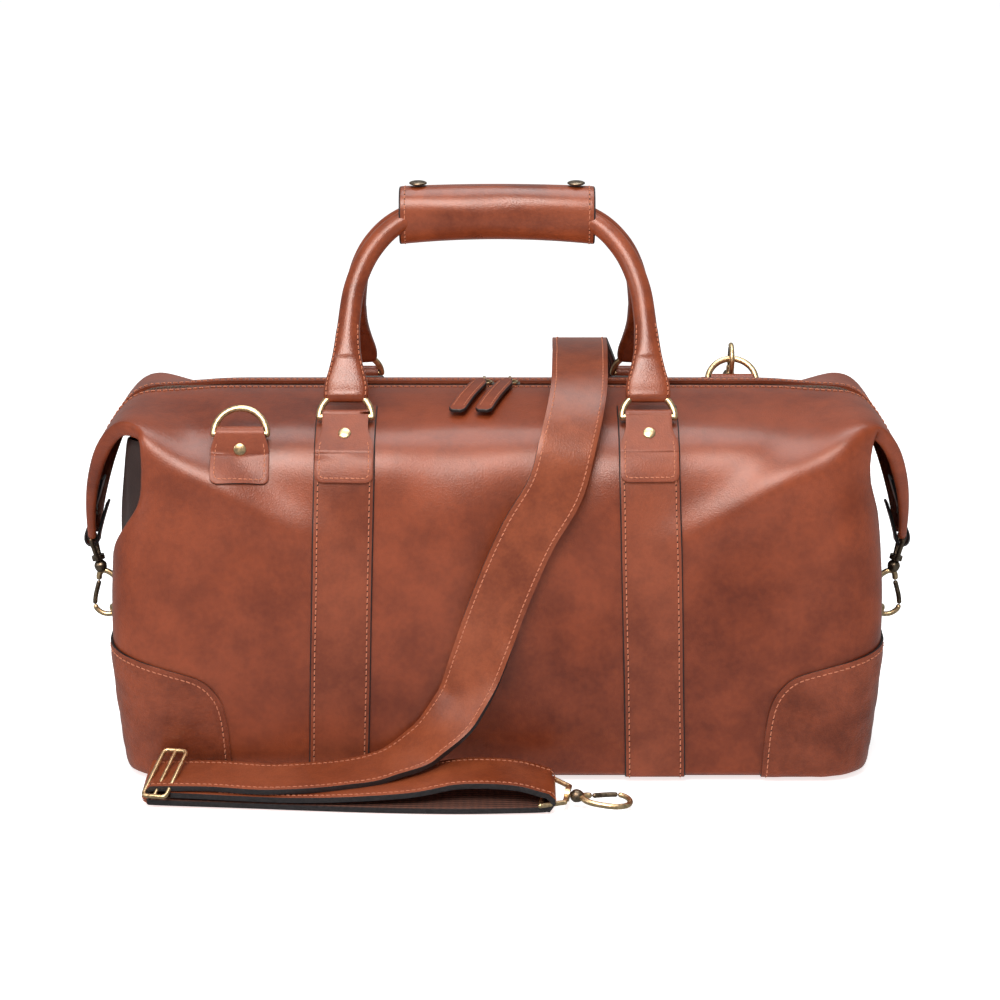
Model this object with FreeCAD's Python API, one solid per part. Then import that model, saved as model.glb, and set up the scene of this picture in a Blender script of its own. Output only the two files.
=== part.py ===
"""Leather weekender bag with a central top zip, two rolled handles in a grip wrap and a shoulder strap.

X runs along the bag, -Y is its front, +Z is up. The origin is at the middle of the base. Millimetres.
"""
import FreeCAD
import Part
import math
import os

V = FreeCAD.Vector
X, Y, Z = V(1, 0, 0), V(0, 1, 0), V(0, 0, 1)

# Body
BASE_LENGTH = 500.0
BODY_LENGTH = 524.0
BASE_DEPTH = 224.0
BODY_DEPTH = 236.0
BODY_HEIGHT = 256.0
SHOULDER = (80.0, 241.5)       # where the top arch meets the shoulder: y, z
END_RADIUS = 30.0              # vertical corner radius
LEATHER = 3.0
LINING = 0.8
BASE_TRAY = 14.0               # height of the base panel's turned-up edge
SEAM_X = 232.0                 # front and rear panels end here
TOP_END_X = 232.3              # the top panels fold into the wings here
ZIP_SLOT = 18.0

# Trim
BAND_WIDTH = 40.0
BAND_X = 102.0
BAND = 1.8
PATCH = 1.6
PATCH_X = 178.0
PATCH_HEIGHT = 96.0

# Rings and handles
WIRE = 2.25                    # D-ring wire radius
RING_R = 17.75                 # D-ring arc radius, to the wire's centre
RING_BAR = (82.0, 248.2)       # handle ring bar: y, z
LOOP_R = 4.6                   # outer radius of the leather folded round a bar
HANDLE_R = 6.25
GRIP_Z = 378.0
GRIP_Y = 8.0
GRIP_LENGTH = 128.0
GRIP_CENTRE_Z = 380.0
GRIP_HALF = (17.0, 14.0)
GRIP_SPLIT = 0.3
FLAP = (-4.0, 9.0)             # the closing flap's hinge edge and free edge, in y
FLAP_THICKNESS = 2.8

# Loose ring tabs on the shoulders
FRONT_TAB_X = -172.0
REAR_TAB_X = 172.0
TAB_BAR = (96.0, 239.5)
REAR_RING_TILT = 35.0
REAR_RING_PLAY = 1.6           # between the rear ring and the bend of the hook in it
FRONT_RING_LEAN = 25.0

# Zip
SLIDER_X = 9.0
TAPE_Z = 251.4

# Wings and clips
WING_TIP = (286.5, 149.0)
WING_HALF = (62.0, 15.0)       # half width at the top fold and at the tip
CLIP_BAR = (286.5, 145.0)      # the eye's bar under the wing tip: x, z
SIDE_RING_R = 12.0
SIDE_WIRE = 1.6
SIDE_BAR = (266.0, 86.0)       # x, z
SIDE_RING_TILT = 45.0

# Snap hooks: eye wire, eye bar to collar, swivel block, hook bend and gate
EYE_WIRE = 1.7
EYE_DROP = 15.0
CLIP_EYE = 18.0
STRAP_EYE = 42.0
HOOK_BLOCK = 15.0
HOOK_SIDE = 8.0
HOOK_STRAIGHT = 16.0
HOOK_WIRE = 2.2
GATE_LENGTH = 15.0
HOOK_BEND = EYE_DROP + 2.0 + HOOK_BLOCK + HOOK_STRAIGHT + HOOK_SIDE - HOOK_WIRE   # from the eye's bar

# Shoulder strap
STRAP_WIDTH = 38.0
STRAP = 3.8
LAYER = 4.6                    # spacing of the strap's runs where they lie on each other
FLOOR_TILT = math.radians(9)   # the strap leans back by this much from lying flat on the floor
LEAN_UP = V(0, math.cos(FLOOR_TILT), math.sin(FLOOR_TILT))
LEAN_OUT = V(0, -math.sin(FLOOR_TILT), math.cos(FLOOR_TILT))
BUCKLE_X = -218.0
BUCKLE_Y = -146.0
BUCKLE = (22.0, 10.0, 1.8)     # half width, half length, wire radius
HOOK_B_BAR = V(32, -160, 9.8)
HOOK_B_DOWN = V(1, -0.15, -0.10)

ENDS = (("left", -1), ("right", 1))
FACES = (("front", -1), ("rear", 1))


def outline(plane, start, *steps):
    """A closed wire in a plane from straight steps (a, b) and arc steps ((a, b), (a, b)) through and to."""
    places = {"xz": lambda a, b: V(a, 0, b), "yz": lambda a, b: V(0, a, b), "xy": lambda a, b: V(a, b, 0)}
    place = places[plane]
    edges = []
    here = start
    for step in steps:
        if isinstance(step[0], tuple):
            edges.append(Part.Arc(place(*here), place(*step[0]), place(*step[1])).toShape())
            here = step[1]
        else:
            edges.append(Part.LineSegment(place(*here), place(*step)).toShape())
            here = step
    if here != start:
        edges.append(Part.LineSegment(place(*here), place(*start)).toShape())
    return Part.Wire(edges)


def prism(wire, low, high):
    """Extrude a flat wire along its plane's axis from low to high."""
    box = wire.BoundBox
    axis = X if box.XLength < 1e-6 else Y if box.YLength < 1e-6 else Z
    moved = wire.copy()
    moved.translate(axis * low)
    return Part.Face(moved).extrude(axis * (high - low))


def rod(start, end, radius):
    return Part.makeCylinder(radius, (end - start).Length, start, end - start)


def mirrored(shape, axis):
    return shape.mirror(V(0, 0, 0), axis)


def turned(shape, centre, axis, degrees):
    copy = shape.copy()
    copy.rotate(centre, axis, degrees)
    return copy


def fused(shapes):
    return shapes[0].multiFuse(shapes[1:]).removeSplitter()


def arc_rod(centre, axis, start, radius, degrees):
    """A round wire bent along an arc about an axis, starting at a point."""
    section = Part.Wire(Part.makeCircle(radius, start, axis.cross(start - centre)))
    return Part.Face(section).revolve(centre, axis, degrees)


def body_solid(inset):
    """The bag's outer form, moved inward by inset: end, front and plan outlines crossed."""
    side, base = BODY_DEPTH / 2, BASE_DEPTH / 2
    end = outline("yz", (-base + 12, 0), (base - 12, 0), ((base - 3.5, 3.5), (base, 12)),
                  ((side, 105), (side - 4, 196)), ((side - 14, 226), SHOULDER),
                  ((0, BODY_HEIGHT), (-SHOULDER[0], SHOULDER[1])), ((-side + 14, 226), (-side + 4, 196)),
                  ((-side, 105), (-base, 12)), ((-base + 3.5, 3.5), (-base + 12, 0)))
    long, foot = BODY_LENGTH / 2, BASE_LENGTH / 2
    front = outline("xz", (-foot + 14, 0), (foot - 14, 0), ((foot - 4, 4), (foot, 14)),
                    ((long, 120), (long - 8, 222)), ((long - 15, 247), (TOP_END_X - 8, 262)),
                    (-TOP_END_X + 8, 262), ((-long + 15, 247), (-long + 8, 222)),
                    ((-long, 120), (-foot, 14)), ((-foot + 4, 4), (-foot + 14, 0)))
    corner = END_RADIUS * (1 - math.sqrt(0.5))
    plan = outline("xy", (-long + END_RADIUS, -side), (long - END_RADIUS, -side),
                   ((long - corner, -side + corner), (long, -side + END_RADIUS)), (long, side - END_RADIUS),
                   ((long - corner, side - corner), (long - END_RADIUS, side)), (-long + END_RADIUS, side),
                   ((-long + corner, side - corner), (-long, side - END_RADIUS)), (-long, -side + END_RADIUS),
                   ((-long + corner, -side + corner), (-long + END_RADIUS, -side)))
    wires = [end, front, plan]
    if inset:
        wires = [w.makeOffset2D(-inset, 0, False, False, False) for w in wires]
    reach = 400
    solids = [prism(wire, -reach, reach) for wire in wires]
    return solids[0].common(solids[1]).common(solids[2])


def box(x0, x1, y0, y1, z0, z1):
    return Part.makeBox(x1 - x0, y1 - y0, z1 - z0, V(x0, y0, z0))


OUTER = body_solid(0)


def skin(thickness):
    """A layer of the given thickness lying on the outside of the bag."""
    return body_solid(-thickness).cut(OUTER)


def shell_parts():
    """The leather panels: front, rear, tray-shaped base and the two end gussets."""
    shell = OUTER.cut(body_solid(LEATHER))
    slot = box(-300, 300, -ZIP_SLOT / 2, ZIP_SLOT / 2, 200, 300)
    above = shell.common(box(-300, 300, -200, 200, BASE_TRAY, 300)).cut(slot)
    gusset_top = 240
    middle = above.common(box(-SEAM_X, SEAM_X, -200, 200, 0, 300))
    parts = {"base_panel": shell.common(box(-300, 300, -200, 200, -1, BASE_TRAY))}
    for name, sign in FACES:
        parts[name + "_panel"] = middle.common(box(-300, 300, min(0, sign * 200), max(0, sign * 200), 0, 300))
    for name, sign in ENDS:
        span = sorted((sign * SEAM_X, sign * 300))
        parts[name + "_gusset"] = above.common(box(*span, -200, 200, 0, gusset_top))
    return parts


def lining():
    """Thin fabric lining inside the leather, open along the zip."""
    outer = body_solid(LEATHER)
    layer = outer.cut(body_solid(LEATHER + LINING))
    return layer.cut(box(-300, 300, -18, 18, 200, 300))


def base_board():
    """The stiffening board that lies in the base tray."""
    inner = body_solid(LEATHER + LINING + 1.0)
    return inner.common(box(-300, 300, -200, 200, 0, LEATHER + LINING + 3.5))


def wing_strip(inner, outer, half_top, half_tip):
    """A strip folding from the bag's top over its end to the wing tip, seen between two offsets."""
    tip_x, tip_z = WING_TIP
    top = BODY_HEIGHT - 1.6
    knee = (TOP_END_X + 33, top - 21)

    def edge(offset):
        bend = offset * 0.7
        return (TOP_END_X, top + offset), (knee[0] + bend, knee[1] + bend), (tip_x + offset, tip_z)

    low, high = edge(inner), edge(outer)
    side = outline("xz", low[0], (low[1], low[2]), high[2], (high[1], high[0]))
    strip = prism(side, -80, 80)
    taper = outline("yz", (-half_top, top + 20), (half_top, top + 20), (half_top, top - 12),
                    (half_tip, tip_z), (-half_tip, tip_z), (-half_top, top - 12))
    return strip.common(prism(taper, 0, 320))


def right_wing():
    """The double leather ear that the top panels make past one end, folded down round its loop."""
    wing = wing_strip(-1.6, 1.6, *WING_HALF)
    narrow = WING_TIP[0] - 6
    slot = outline("xy", (200, -ZIP_SLOT / 2), (200, ZIP_SLOT / 2), (narrow, 4), (narrow, -4))
    x, z = CLIP_BAR
    hole = rod(V(x, -40, z), V(x, 40, z), LOOP_R)
    return fused([wing.cut(prism(slot, 200, 300)).cut(hole), bar_loop(V(x, -6.5, z), V(x, 6.5, z), EYE_WIRE)])


def zip_parts(wing):
    """Two tapes and two rows of teeth, straight along the top and bent down both wings."""
    parts = {}
    for name, sign in FACES:
        ys = sorted((sign * 0.5, sign * 14.0))
        parts[name + "_zip_tape"] = box(-TOP_END_X + 12, TOP_END_X - 12, *ys, TAPE_Z, TAPE_Z + 0.8)
    rows = []
    for sign in (-1, 1):
        ys = sorted((sign * 0.5, sign * 3.2))
        ends = wing_strip(-1.3, 1.3, 3.2, 3.2).common(box(0, 320, *ys, 205, 300)).cut(wing)
        rows.append(box(-TOP_END_X + 0.5, TOP_END_X - 0.5, *ys, TAPE_Z + 0.8, TAPE_Z + 3.0))
        rows.append(ends)
        rows.append(mirrored(ends, X))
    parts["zip_teeth"] = Part.makeCompound(rows)
    return parts


def slider():
    """Two plates joined by a thin web between the rows of teeth, with an upright eye for the pull."""
    low, high = TAPE_Z - 1.6, TAPE_Z + 3.4
    plates = [box(-7, 7, -5, 5, low, low + 1.2), box(-7, 7, -5, 5, high, high + 1.4),
              box(-7, 7, -0.2, 0.2, low, high + 1.4)]
    eye = Part.makeCylinder(3.0, 2.0, V(-1, 0, high + 3.2), X).fuse(box(-1, 1, -3, 3, high + 1, high + 3.2))
    return fused(plates + [eye.cut(Part.makeCylinder(1.3, 4, V(-2, 0, high + 3.2), X))])


PULL_Z = TAPE_Z + 3.4 + 3.2
PULL_RING = (5.0, 0.9)


def pull(length=45.0, width=9.0, thickness=3.0, droop=2.0, yaw=16.0):
    """The wire ring in the slider's eye and the stitched leather tab that hangs from it, lying forward."""
    ring = Part.makeTorus(PULL_RING[0], PULL_RING[1], V(0, -PULL_RING[0], PULL_Z), Z)
    middle = V(0, -PULL_RING[0], PULL_Z)
    outer = -PULL_RING[0] - 3.0
    tab = box(-width / 2, width / 2, outer - length, outer, PULL_Z - thickness / 2, PULL_Z + thickness / 2)
    tab = turned(tab, middle, Z, -yaw).cut(ring)
    return [turned(piece, V(0, 0, PULL_Z), X, droop) for piece in (ring, tab)]


def bands():
    """Four stitched straps from the base up the front and rear faces to the handle rings."""
    layer = skin(BAND)
    parts = {}
    for face, sign in FACES:
        strips = []
        for _, side in ENDS:
            span = (side * BAND_X - BAND_WIDTH / 2, side * BAND_X + BAND_WIDTH / 2)
            ys = sorted((sign * 70.5, sign * 140))
            strips.append(layer.common(box(*span, *ys, 2, 300)))
        parts[face + "_bands"] = Part.makeCompound(strips)
    return parts


def bar_loop(start, end, wire):
    """A leather tube folded round a ring's bar."""
    over = (end - start).normalize()
    return rod(start, end, LOOP_R).cut(rod(start - over, end + over, wire + 0.35))


def chape(half_width, bar, foot_z, gap, thickness=2.2):
    """A tab folded round a ring bar and lying down the front face over a layer of the given thickness."""
    y, z = -bar[0], bar[1]
    over = body_solid(-gap - thickness).cut(body_solid(-gap))
    tab = over.common(box(-half_width, half_width, -140, y + 1.5, foot_z, 300))
    loop = bar_loop(V(-14.5, y, z), V(14.5, y, z), WIRE)
    hole = rod(V(-60, y, z), V(60, y, z), LOOP_R)
    return fused([tab.cut(hole), loop])


def d_ring(radius=RING_R, wire=WIRE):
    """A D-ring standing in the XZ plane with the middle of its bar at the origin."""
    ends = [V(-radius, 0, 0), V(radius, 0, 0)]
    pieces = [rod(ends[0], ends[1], wire), arc_rod(V(0, 0, 0), Y, ends[0], wire, 180)]
    pieces += [Part.makeSphere(wire, end) for end in ends]
    return fused(pieces)


def placed(shape, tilt, position):
    """Lean a shape back about X by tilt degrees (away from -Y) and move it."""
    copy = shape.copy()
    copy.rotate(V(0, 0, 0), X, -tilt)
    copy.translate(position)
    return copy


def rounded_path(points, radii):
    """Straight runs joined by tangent arcs of the given radii."""
    edges = []
    here = points[0]
    for before, corner, after, radius in zip(points, points[1:], points[2:], radii):
        to_corner, from_corner = (corner - before).normalize(), (after - corner).normalize()
        turn = to_corner.getAngle(from_corner)
        reach = radius * math.tan(turn / 2)
        start, end = corner - to_corner * reach, corner + from_corner * reach
        inward = (from_corner - to_corner).normalize()
        centre = corner + inward * (radius / math.cos(turn / 2))
        edges.append(Part.LineSegment(here, start).toShape())
        edges.append(Part.Arc(start, centre - inward * radius, end).toShape())
        here = end
    edges.append(Part.LineSegment(here, points[-1]).toShape())
    return Part.Wire(edges)


GRIP_RISE = math.hypot(RING_BAR[0] - GRIP_Y, GRIP_Z - RING_BAR[1])
HANDLE_LEAN = math.degrees(math.atan2(RING_BAR[0] - GRIP_Y, GRIP_Z - RING_BAR[1]))


def front_handle():
    """The front rolled handle, its two D-rings and its half of the grip wrap, leaning in over the bag."""
    leg, shoulder, knee = BAND_X, BAND_X + 1.0, BAND_X - 22.0
    half = [V(-leg, 0, 40), V(-shoulder, 0, 95), V(-knee, 0, GRIP_RISE)]
    points = half + [V(-p.x, 0, p.z) for p in reversed(half)]
    path = rounded_path(points, (150, 28, 28, 150))
    section = Part.Wire(Part.makeCircle(HANDLE_R, points[0], points[1] - points[0]))
    tube = path.makePipeShell([section], True, False)
    pieces = [tube]
    for x in (-leg, leg):
        middle = V(x, 0, 0)
        start = V(x - RING_R, 0, 0)
        fold = arc_rod(middle, Y, start, LOOP_R + 0.6, 100)
        bore = arc_rod(middle, Y, start, WIRE + 0.05, 100)
        fold, bore = (turned(piece, middle, Y, 40) for piece in (fold, bore))
        flare = outline("xz", (x - 14, RING_R - 6), (x + 14, RING_R - 6), (x + 14, RING_R + 10),
                        (x + HANDLE_R, 50), (x - HANDLE_R, 50), (x - 14, RING_R + 10))
        paddle = prism(flare, -4.2, 4.2).cut(Part.makeCylinder(RING_R, 20, V(x, -10, 0), Y))
        pieces.append(paddle.fuse(fold).cut(bore))
    handle = fused(pieces)
    rings = [d_ring(), d_ring()]
    rings[0].translate(V(-leg, 0, 0))
    rings[1].translate(V(leg, 0, 0))
    place = V(0, -RING_BAR[0], RING_BAR[1])
    handle = placed(handle, HANDLE_LEAN, place)
    return handle, Part.makeCompound([placed(ring, HANDLE_LEAN, place) for ring in rings])


def oval(half_y, half_z, half_length):
    """A solid grip form: an oval section along X."""
    ellipse = Part.Ellipse(V(0, half_y, 0), V(0, 0, half_z), V(0, 0, 0)).toShape()
    solid = Part.Face(Part.Wire(ellipse)).extrude(X * 2 * half_length)
    solid.translate(V(-half_length, 0, GRIP_CENTRE_Z))
    return solid


def grip_parts(front, rear):
    """The wrap's front and rear halves and the flap with two snaps that closes over the top."""
    whole = oval(*GRIP_HALF, GRIP_LENGTH / 2)
    inner = oval(GRIP_HALF[0] - FLAP_THICKNESS, GRIP_HALF[1] - FLAP_THICKNESS, 80)
    sweep = GRIP_RISE + HANDLE_R
    keep = Part.makeCylinder(sweep + 1.6, 200, V(-100, RING_BAR[0], RING_BAR[1]), X)
    clear = Part.makeCylinder(sweep + 2.0, 200, V(-100, RING_BAR[0], RING_BAR[1]), X)
    over = box(-80, 80, FLAP[0], FLAP[1], GRIP_CENTRE_Z, 420)
    flap = whole.cut(inner).cut(clear).common(over)
    pocket = box(-80, 80, FLAP[0] - 0.3, FLAP[1], GRIP_CENTRE_Z + GRIP_HALF[1] - FLAP_THICKNESS - 1.2, 420)
    front_half = whole.common(box(-80, 80, -40, -GRIP_SPLIT / 2, 300, 420)).cut(pocket).cut(front)
    rear_half = whole.common(box(-80, 80, GRIP_SPLIT / 2, 40, 300, 420)).common(keep).cut(rear)
    top = GRIP_CENTRE_Z + GRIP_HALF[1]
    caps = [Part.makeCylinder(6.0, 3.8, V(x, 2.5, top - 2.5), Z).cut(flap) for x in (-52, 52)]
    return {"grip_front": front_half, "grip_rear": rear_half, "grip_flap": flap,
            "grip_snaps": Part.makeCompound(caps)}


def corner_patches():
    """Rounded leather patches over the four lower corners."""
    layer = skin(PATCH)
    shape = outline("xz", (PATCH_X, 0), (300, 0), (300, PATCH_HEIGHT), (PATCH_X + 50, PATCH_HEIGHT - 12),
                    ((PATCH_X + 17, PATCH_HEIGHT - 44), (PATCH_X, 0)))
    end = outline("yz", (-140, 0), (-52, 0), ((-62, 66), (-100, PATCH_HEIGHT)), (-140, PATCH_HEIGHT))
    region = prism(shape, -140, -40).common(prism(end, 0, 300))
    front_right = layer.common(region)
    parts = {"front_right_patch": front_right, "front_left_patch": mirrored(front_right, X)}
    parts["rear_right_patch"] = mirrored(front_right, Y)
    parts["rear_left_patch"] = mirrored(parts["rear_right_patch"], X)
    return parts


def rivet(x, *layers):
    """A rivet head standing on the layers at the front shoulder, square to it."""
    shoulder = V(0, -104, 226)
    out = V(0, -0.8, 0.6)
    centre = shoulder + X * x
    head = Part.makeCylinder(4.0, 5.6, centre, out).cut(OUTER)
    for layer in layers:
        head = head.cut(layer)
    return head


def snap_hook(eye_width):
    """Eye, hook and gate of a swivel snap, hanging down from the eye's bar at the origin, bent in XZ."""
    half = eye_width / 2
    corners = [V(0, -half, 0), V(0, half, 0), V(0, half * 0.55, -EYE_DROP), V(0, -half * 0.55, -EYE_DROP)]
    sides = [rod(a, b, EYE_WIRE) for a, b in zip(corners, corners[1:] + corners[:1])]
    collar = Part.makeCylinder(4.6, 3.4, V(0, 0, -EYE_DROP - 1.7), Z)
    eye = fused(sides + [Part.makeSphere(EYE_WIRE, c) for c in corners] + [collar])
    top = -EYE_DROP - 2.0
    bend = top - HOOK_BLOCK
    eye = eye.cut(Part.makeCylinder(2.1, 12, V(0, 0, top - 4), Z))
    stem = Part.makeCylinder(1.75, 5.4, V(0, 0, top - 0.4), Z)
    head = Part.makeCylinder(3.2, 1.2, V(0, 0, top + 4.1), Z)
    block = box(-HOOK_SIDE - HOOK_WIRE, HOOK_SIDE - 2.6, -3.0, 3.0, bend, top - 0.2)
    low = bend - HOOK_STRAIGHT
    spine = rod(V(-HOOK_SIDE, 0, bend), V(-HOOK_SIDE, 0, low), HOOK_WIRE)
    curve = arc_rod(V(0, 0, low), Y, V(-HOOK_SIDE, 0, low), HOOK_WIRE, -180)
    hook = fused([block, stem, head, spine, curve])
    gate = rod(V(HOOK_SIDE, 0, low + 0.4), V(HOOK_SIDE, 0, low + 0.4 + GATE_LENGTH + 4), 1.6)
    knob = box(HOOK_SIDE + 1.0, HOOK_SIDE + 3.4, -1.6, 1.6, bend - 4.0, bend - 0.5)
    return {"eye": eye, "hook": hook, "gate": gate.fuse(knob).removeSplitter()}


def aimed(shape, position, down, across):
    """Place a snap hook so that it hangs along down with its bend opening along across."""
    up = (down * -1).normalize()
    side = (across - up * across.dot(up)).normalize()
    front = up.cross(side)
    matrix = FreeCAD.Matrix(side.x, front.x, up.x, position.x, side.y, front.y, up.y, position.y,
                            side.z, front.z, up.z, position.z, 0, 0, 0, 1)
    copy = shape.copy()
    copy.Placement = FreeCAD.Placement(matrix).multiply(copy.Placement)
    return copy


def side_rings_and_clips():
    """Each wing tip's snap clip, and the tab and ring above the corner patches that it hooks."""
    bar_x, bar_z = SIDE_BAR
    bar = V(bar_x, 0, bar_z)
    layer = skin(2.0).common(box(240, 300, -12, 12, 42, bar_z + 2))
    layer = layer.cut(rod(bar - Y * 20, bar + Y * 20, LOOP_R))
    tab = fused([layer, bar_loop(bar - Y * 10, bar + Y * 10, SIDE_WIRE)])
    ring = d_ring(SIDE_RING_R, SIDE_WIRE)
    ring.rotate(V(0, 0, 0), Z, 90)
    ring.rotate(V(0, 0, 0), Y, SIDE_RING_TILT)
    ring.translate(bar)
    lean = math.radians(SIDE_RING_TILT)
    held = bar + V(math.sin(lean), 0, math.cos(lean)) * SIDE_RING_R
    eye_bar = V(CLIP_BAR[0], 0, CLIP_BAR[1])
    clip = {part: aimed(shape, eye_bar, held - eye_bar, X) for part, shape in snap_hook(CLIP_EYE).items()}
    print("clip reach", round((held - eye_bar).Length, 2), "needs", round(HOOK_BEND - SIDE_WIRE - 0.4, 2))
    parts = {"right_side_tab": tab, "right_side_ring": ring}
    parts.update({"right_clip_" + part: shape for part, shape in clip.items()})
    parts.update({name.replace("right", "left"): mirrored(shape, X) for name, shape in list(parts.items())})
    return parts


def flat(points):
    return Part.Face(Part.makePolygon(points + points[:1]))


def ribbon(points, hints):
    """A flat strap through the points, as wide as its hints point, as a faceted solid."""
    rings = []
    for i, (point, hint) in enumerate(zip(points, hints)):
        along = (points[min(i + 1, len(points) - 1)] - points[max(i - 1, 0)]).normalize()
        across = (hint - along * hint.dot(along)).normalize()
        side, lift = across * (STRAP_WIDTH / 2), along.cross(across) * (STRAP / 2)
        rings.append([point - side - lift, point + side - lift, point + side + lift, point - side + lift])
    faces = [flat(rings[0][::-1]), flat(rings[-1])]
    for low, high in zip(rings, rings[1:]):
        for i, j in ((0, 1), (1, 2), (2, 3), (3, 0)):
            faces.append(flat([low[i], low[j], high[j]]))
            faces.append(flat([low[i], high[j], high[i]]))
    solid = Part.Solid(Part.Shell(faces))
    if solid.Volume < 0:
        solid.reverse()
    return solid


def strap_length(points):
    return sum((b - a).Length for a, b in zip(points, points[1:]))


def floor_line(x, layer=0.0, shift=0.0):
    """A point on the bundle in front of the bag, by layer and by shift along the strap's width."""
    share = (x - BUCKLE_X) / (HOOK_B_BAR.x - BUCKLE_X)
    base = V(x, BUCKLE_Y + share * (HOOK_B_BAR.y - BUCKLE_Y), HOOK_B_BAR.z)
    return base + LEAN_OUT * layer + LEAN_UP * shift


def rear_hook():
    """The snap hook on the rear ring: its parts, and the middle of its eye bar."""
    lean = math.radians(REAR_RING_TILT)
    out = V(0, math.cos(lean), -math.sin(lean))
    held = V(REAR_TAB_X, TAB_BAR[0] + math.sin(lean) * RING_R, TAB_BAR[1] + math.cos(lean) * RING_R)
    bar = held + out * (HOOK_BEND - WIRE - REAR_RING_PLAY)
    return {part: aimed(shape, bar, out * -1, Z) for part, shape in snap_hook(STRAP_EYE).items()}, bar


def floor_hook():
    """The snap hook lying on the floor at the strap's other end."""
    pieces = snap_hook(STRAP_EYE)
    parts = {"eye": aimed(pieces["eye"], HOOK_B_BAR, HOOK_B_DOWN, LEAN_OUT)}
    for name in ("hook", "gate"):
        parts[name] = aimed(pieces[name], HOOK_B_BAR, HOOK_B_DOWN, V(0, 1, 0.1))
    return parts


def strap(rear_bar, metal):
    """The shoulder strap: rear ring, over the top, down the front, along the floor and doubled back."""
    rear = [V(58, 20, 281), V(62, 70, 268), V(70, 114, 243), V(80, 136, 208), V(90, 146, 168),
            V(104, 150, 138), V(124, 151, 126), V(146, 151, 136), V(160, 150, 162), V(170, 149, 192),
            V(172, 148, rear_bar.z - 3)]
    rear_hints = [X, X, X, X, V(1, 0.6, 0), V(0.4, 1, 0), Y, V(-0.4, 1, 0), V(-1, 0.6, 0), V(-1, 0, 0),
                  V(-1, 0, 0)]
    front = [V(58, 20, 281), V(57, -30, 280), V(54.5, -80, 262.5), V(47, -111, 236), V(38.5, -120, 207),
             V(22, -123.5, 179), V(10, -125, 153), V(-2.5, -126, 121), V(-12, -127, 91), V(-25, -129, 59),
             V(-48, -134, 33), V(-75, -142, 20), floor_line(-105, LAYER, 6)]
    front_hints = [X, X, V(0.97, 0, -0.1), V(0.95, 0, -0.2), V(0.93, 0, -0.35), V(0.9, 0, -0.42),
                   V(0.9, 0, -0.42), V(0.92, 0, -0.38), V(0.85, -0.3, -0.42), V(0.62, -0.6, -0.45),
                   V(0.4, -0.8, -0.35), V(0.15, -0.95, -0.2), LEAN_UP * -1]
    floor = [floor_line(-105, LAYER, 6), floor_line(-150, LAYER, -2), floor_line(-190, LAYER, 1),
             floor_line(BUCKLE_X - 10, LAYER)]
    back = [floor_line(HOOK_B_BAR.x, LAYER), floor_line(-15, 2.0), floor_line(-62), floor_line(BUCKLE_X + 3)]
    turn = [floor_line(BUCKLE_X - 10 - LAYER * math.sin(math.radians(a)), LAYER * math.cos(math.radians(a)))
            for a in range(0, 181, 30)]
    turn += [floor_line(-90, -LAYER)]
    turn += [floor_line(HOOK_B_BAR.x + LAYER * math.sin(math.radians(a)), -LAYER * math.cos(math.radians(a)))
                for a in range(0, 181, 30)]
    runs = {"strap_front": (front, front_hints), "strap_rear": (rear, rear_hints)}
    for name, points in (("strap_floor", floor), ("strap_lower", turn), ("strap_return", back)):
        runs[name] = (points, [LEAN_UP] * len(points))
    print("strap length", round(sum(strap_length(points) for points, _ in runs.values())))
    pieces = {}
    for name, (points, hints) in runs.items():
        piece = ribbon(points, hints)
        for other in metal + list(pieces.values()):
            piece = piece.cut(other)
        pieces[name] = max(piece.Solids, key=lambda solid: solid.Volume)
    return pieces


def buckle():
    """A wire frame with a centre bar, which the strap passes round."""
    half_width, half_length, wire = BUCKLE
    corners = [floor_line(BUCKLE_X + i * half_length, 0, j * half_width)
               for i, j in ((-1, -1), (1, -1), (1, 1), (-1, 1))]
    bars = [rod(a, b, wire) for a, b in zip(corners, corners[1:] + corners[:1])]
    bars += [Part.makeSphere(wire, corner) for corner in corners]
    middle = [floor_line(BUCKLE_X, 0, side * half_width) for side in (-1, 1)]
    return fused(bars + [rod(middle[0], middle[1], wire)])


def moved(shape, x):
    copy = shape.copy()
    copy.translate(X * x)
    return copy


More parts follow.
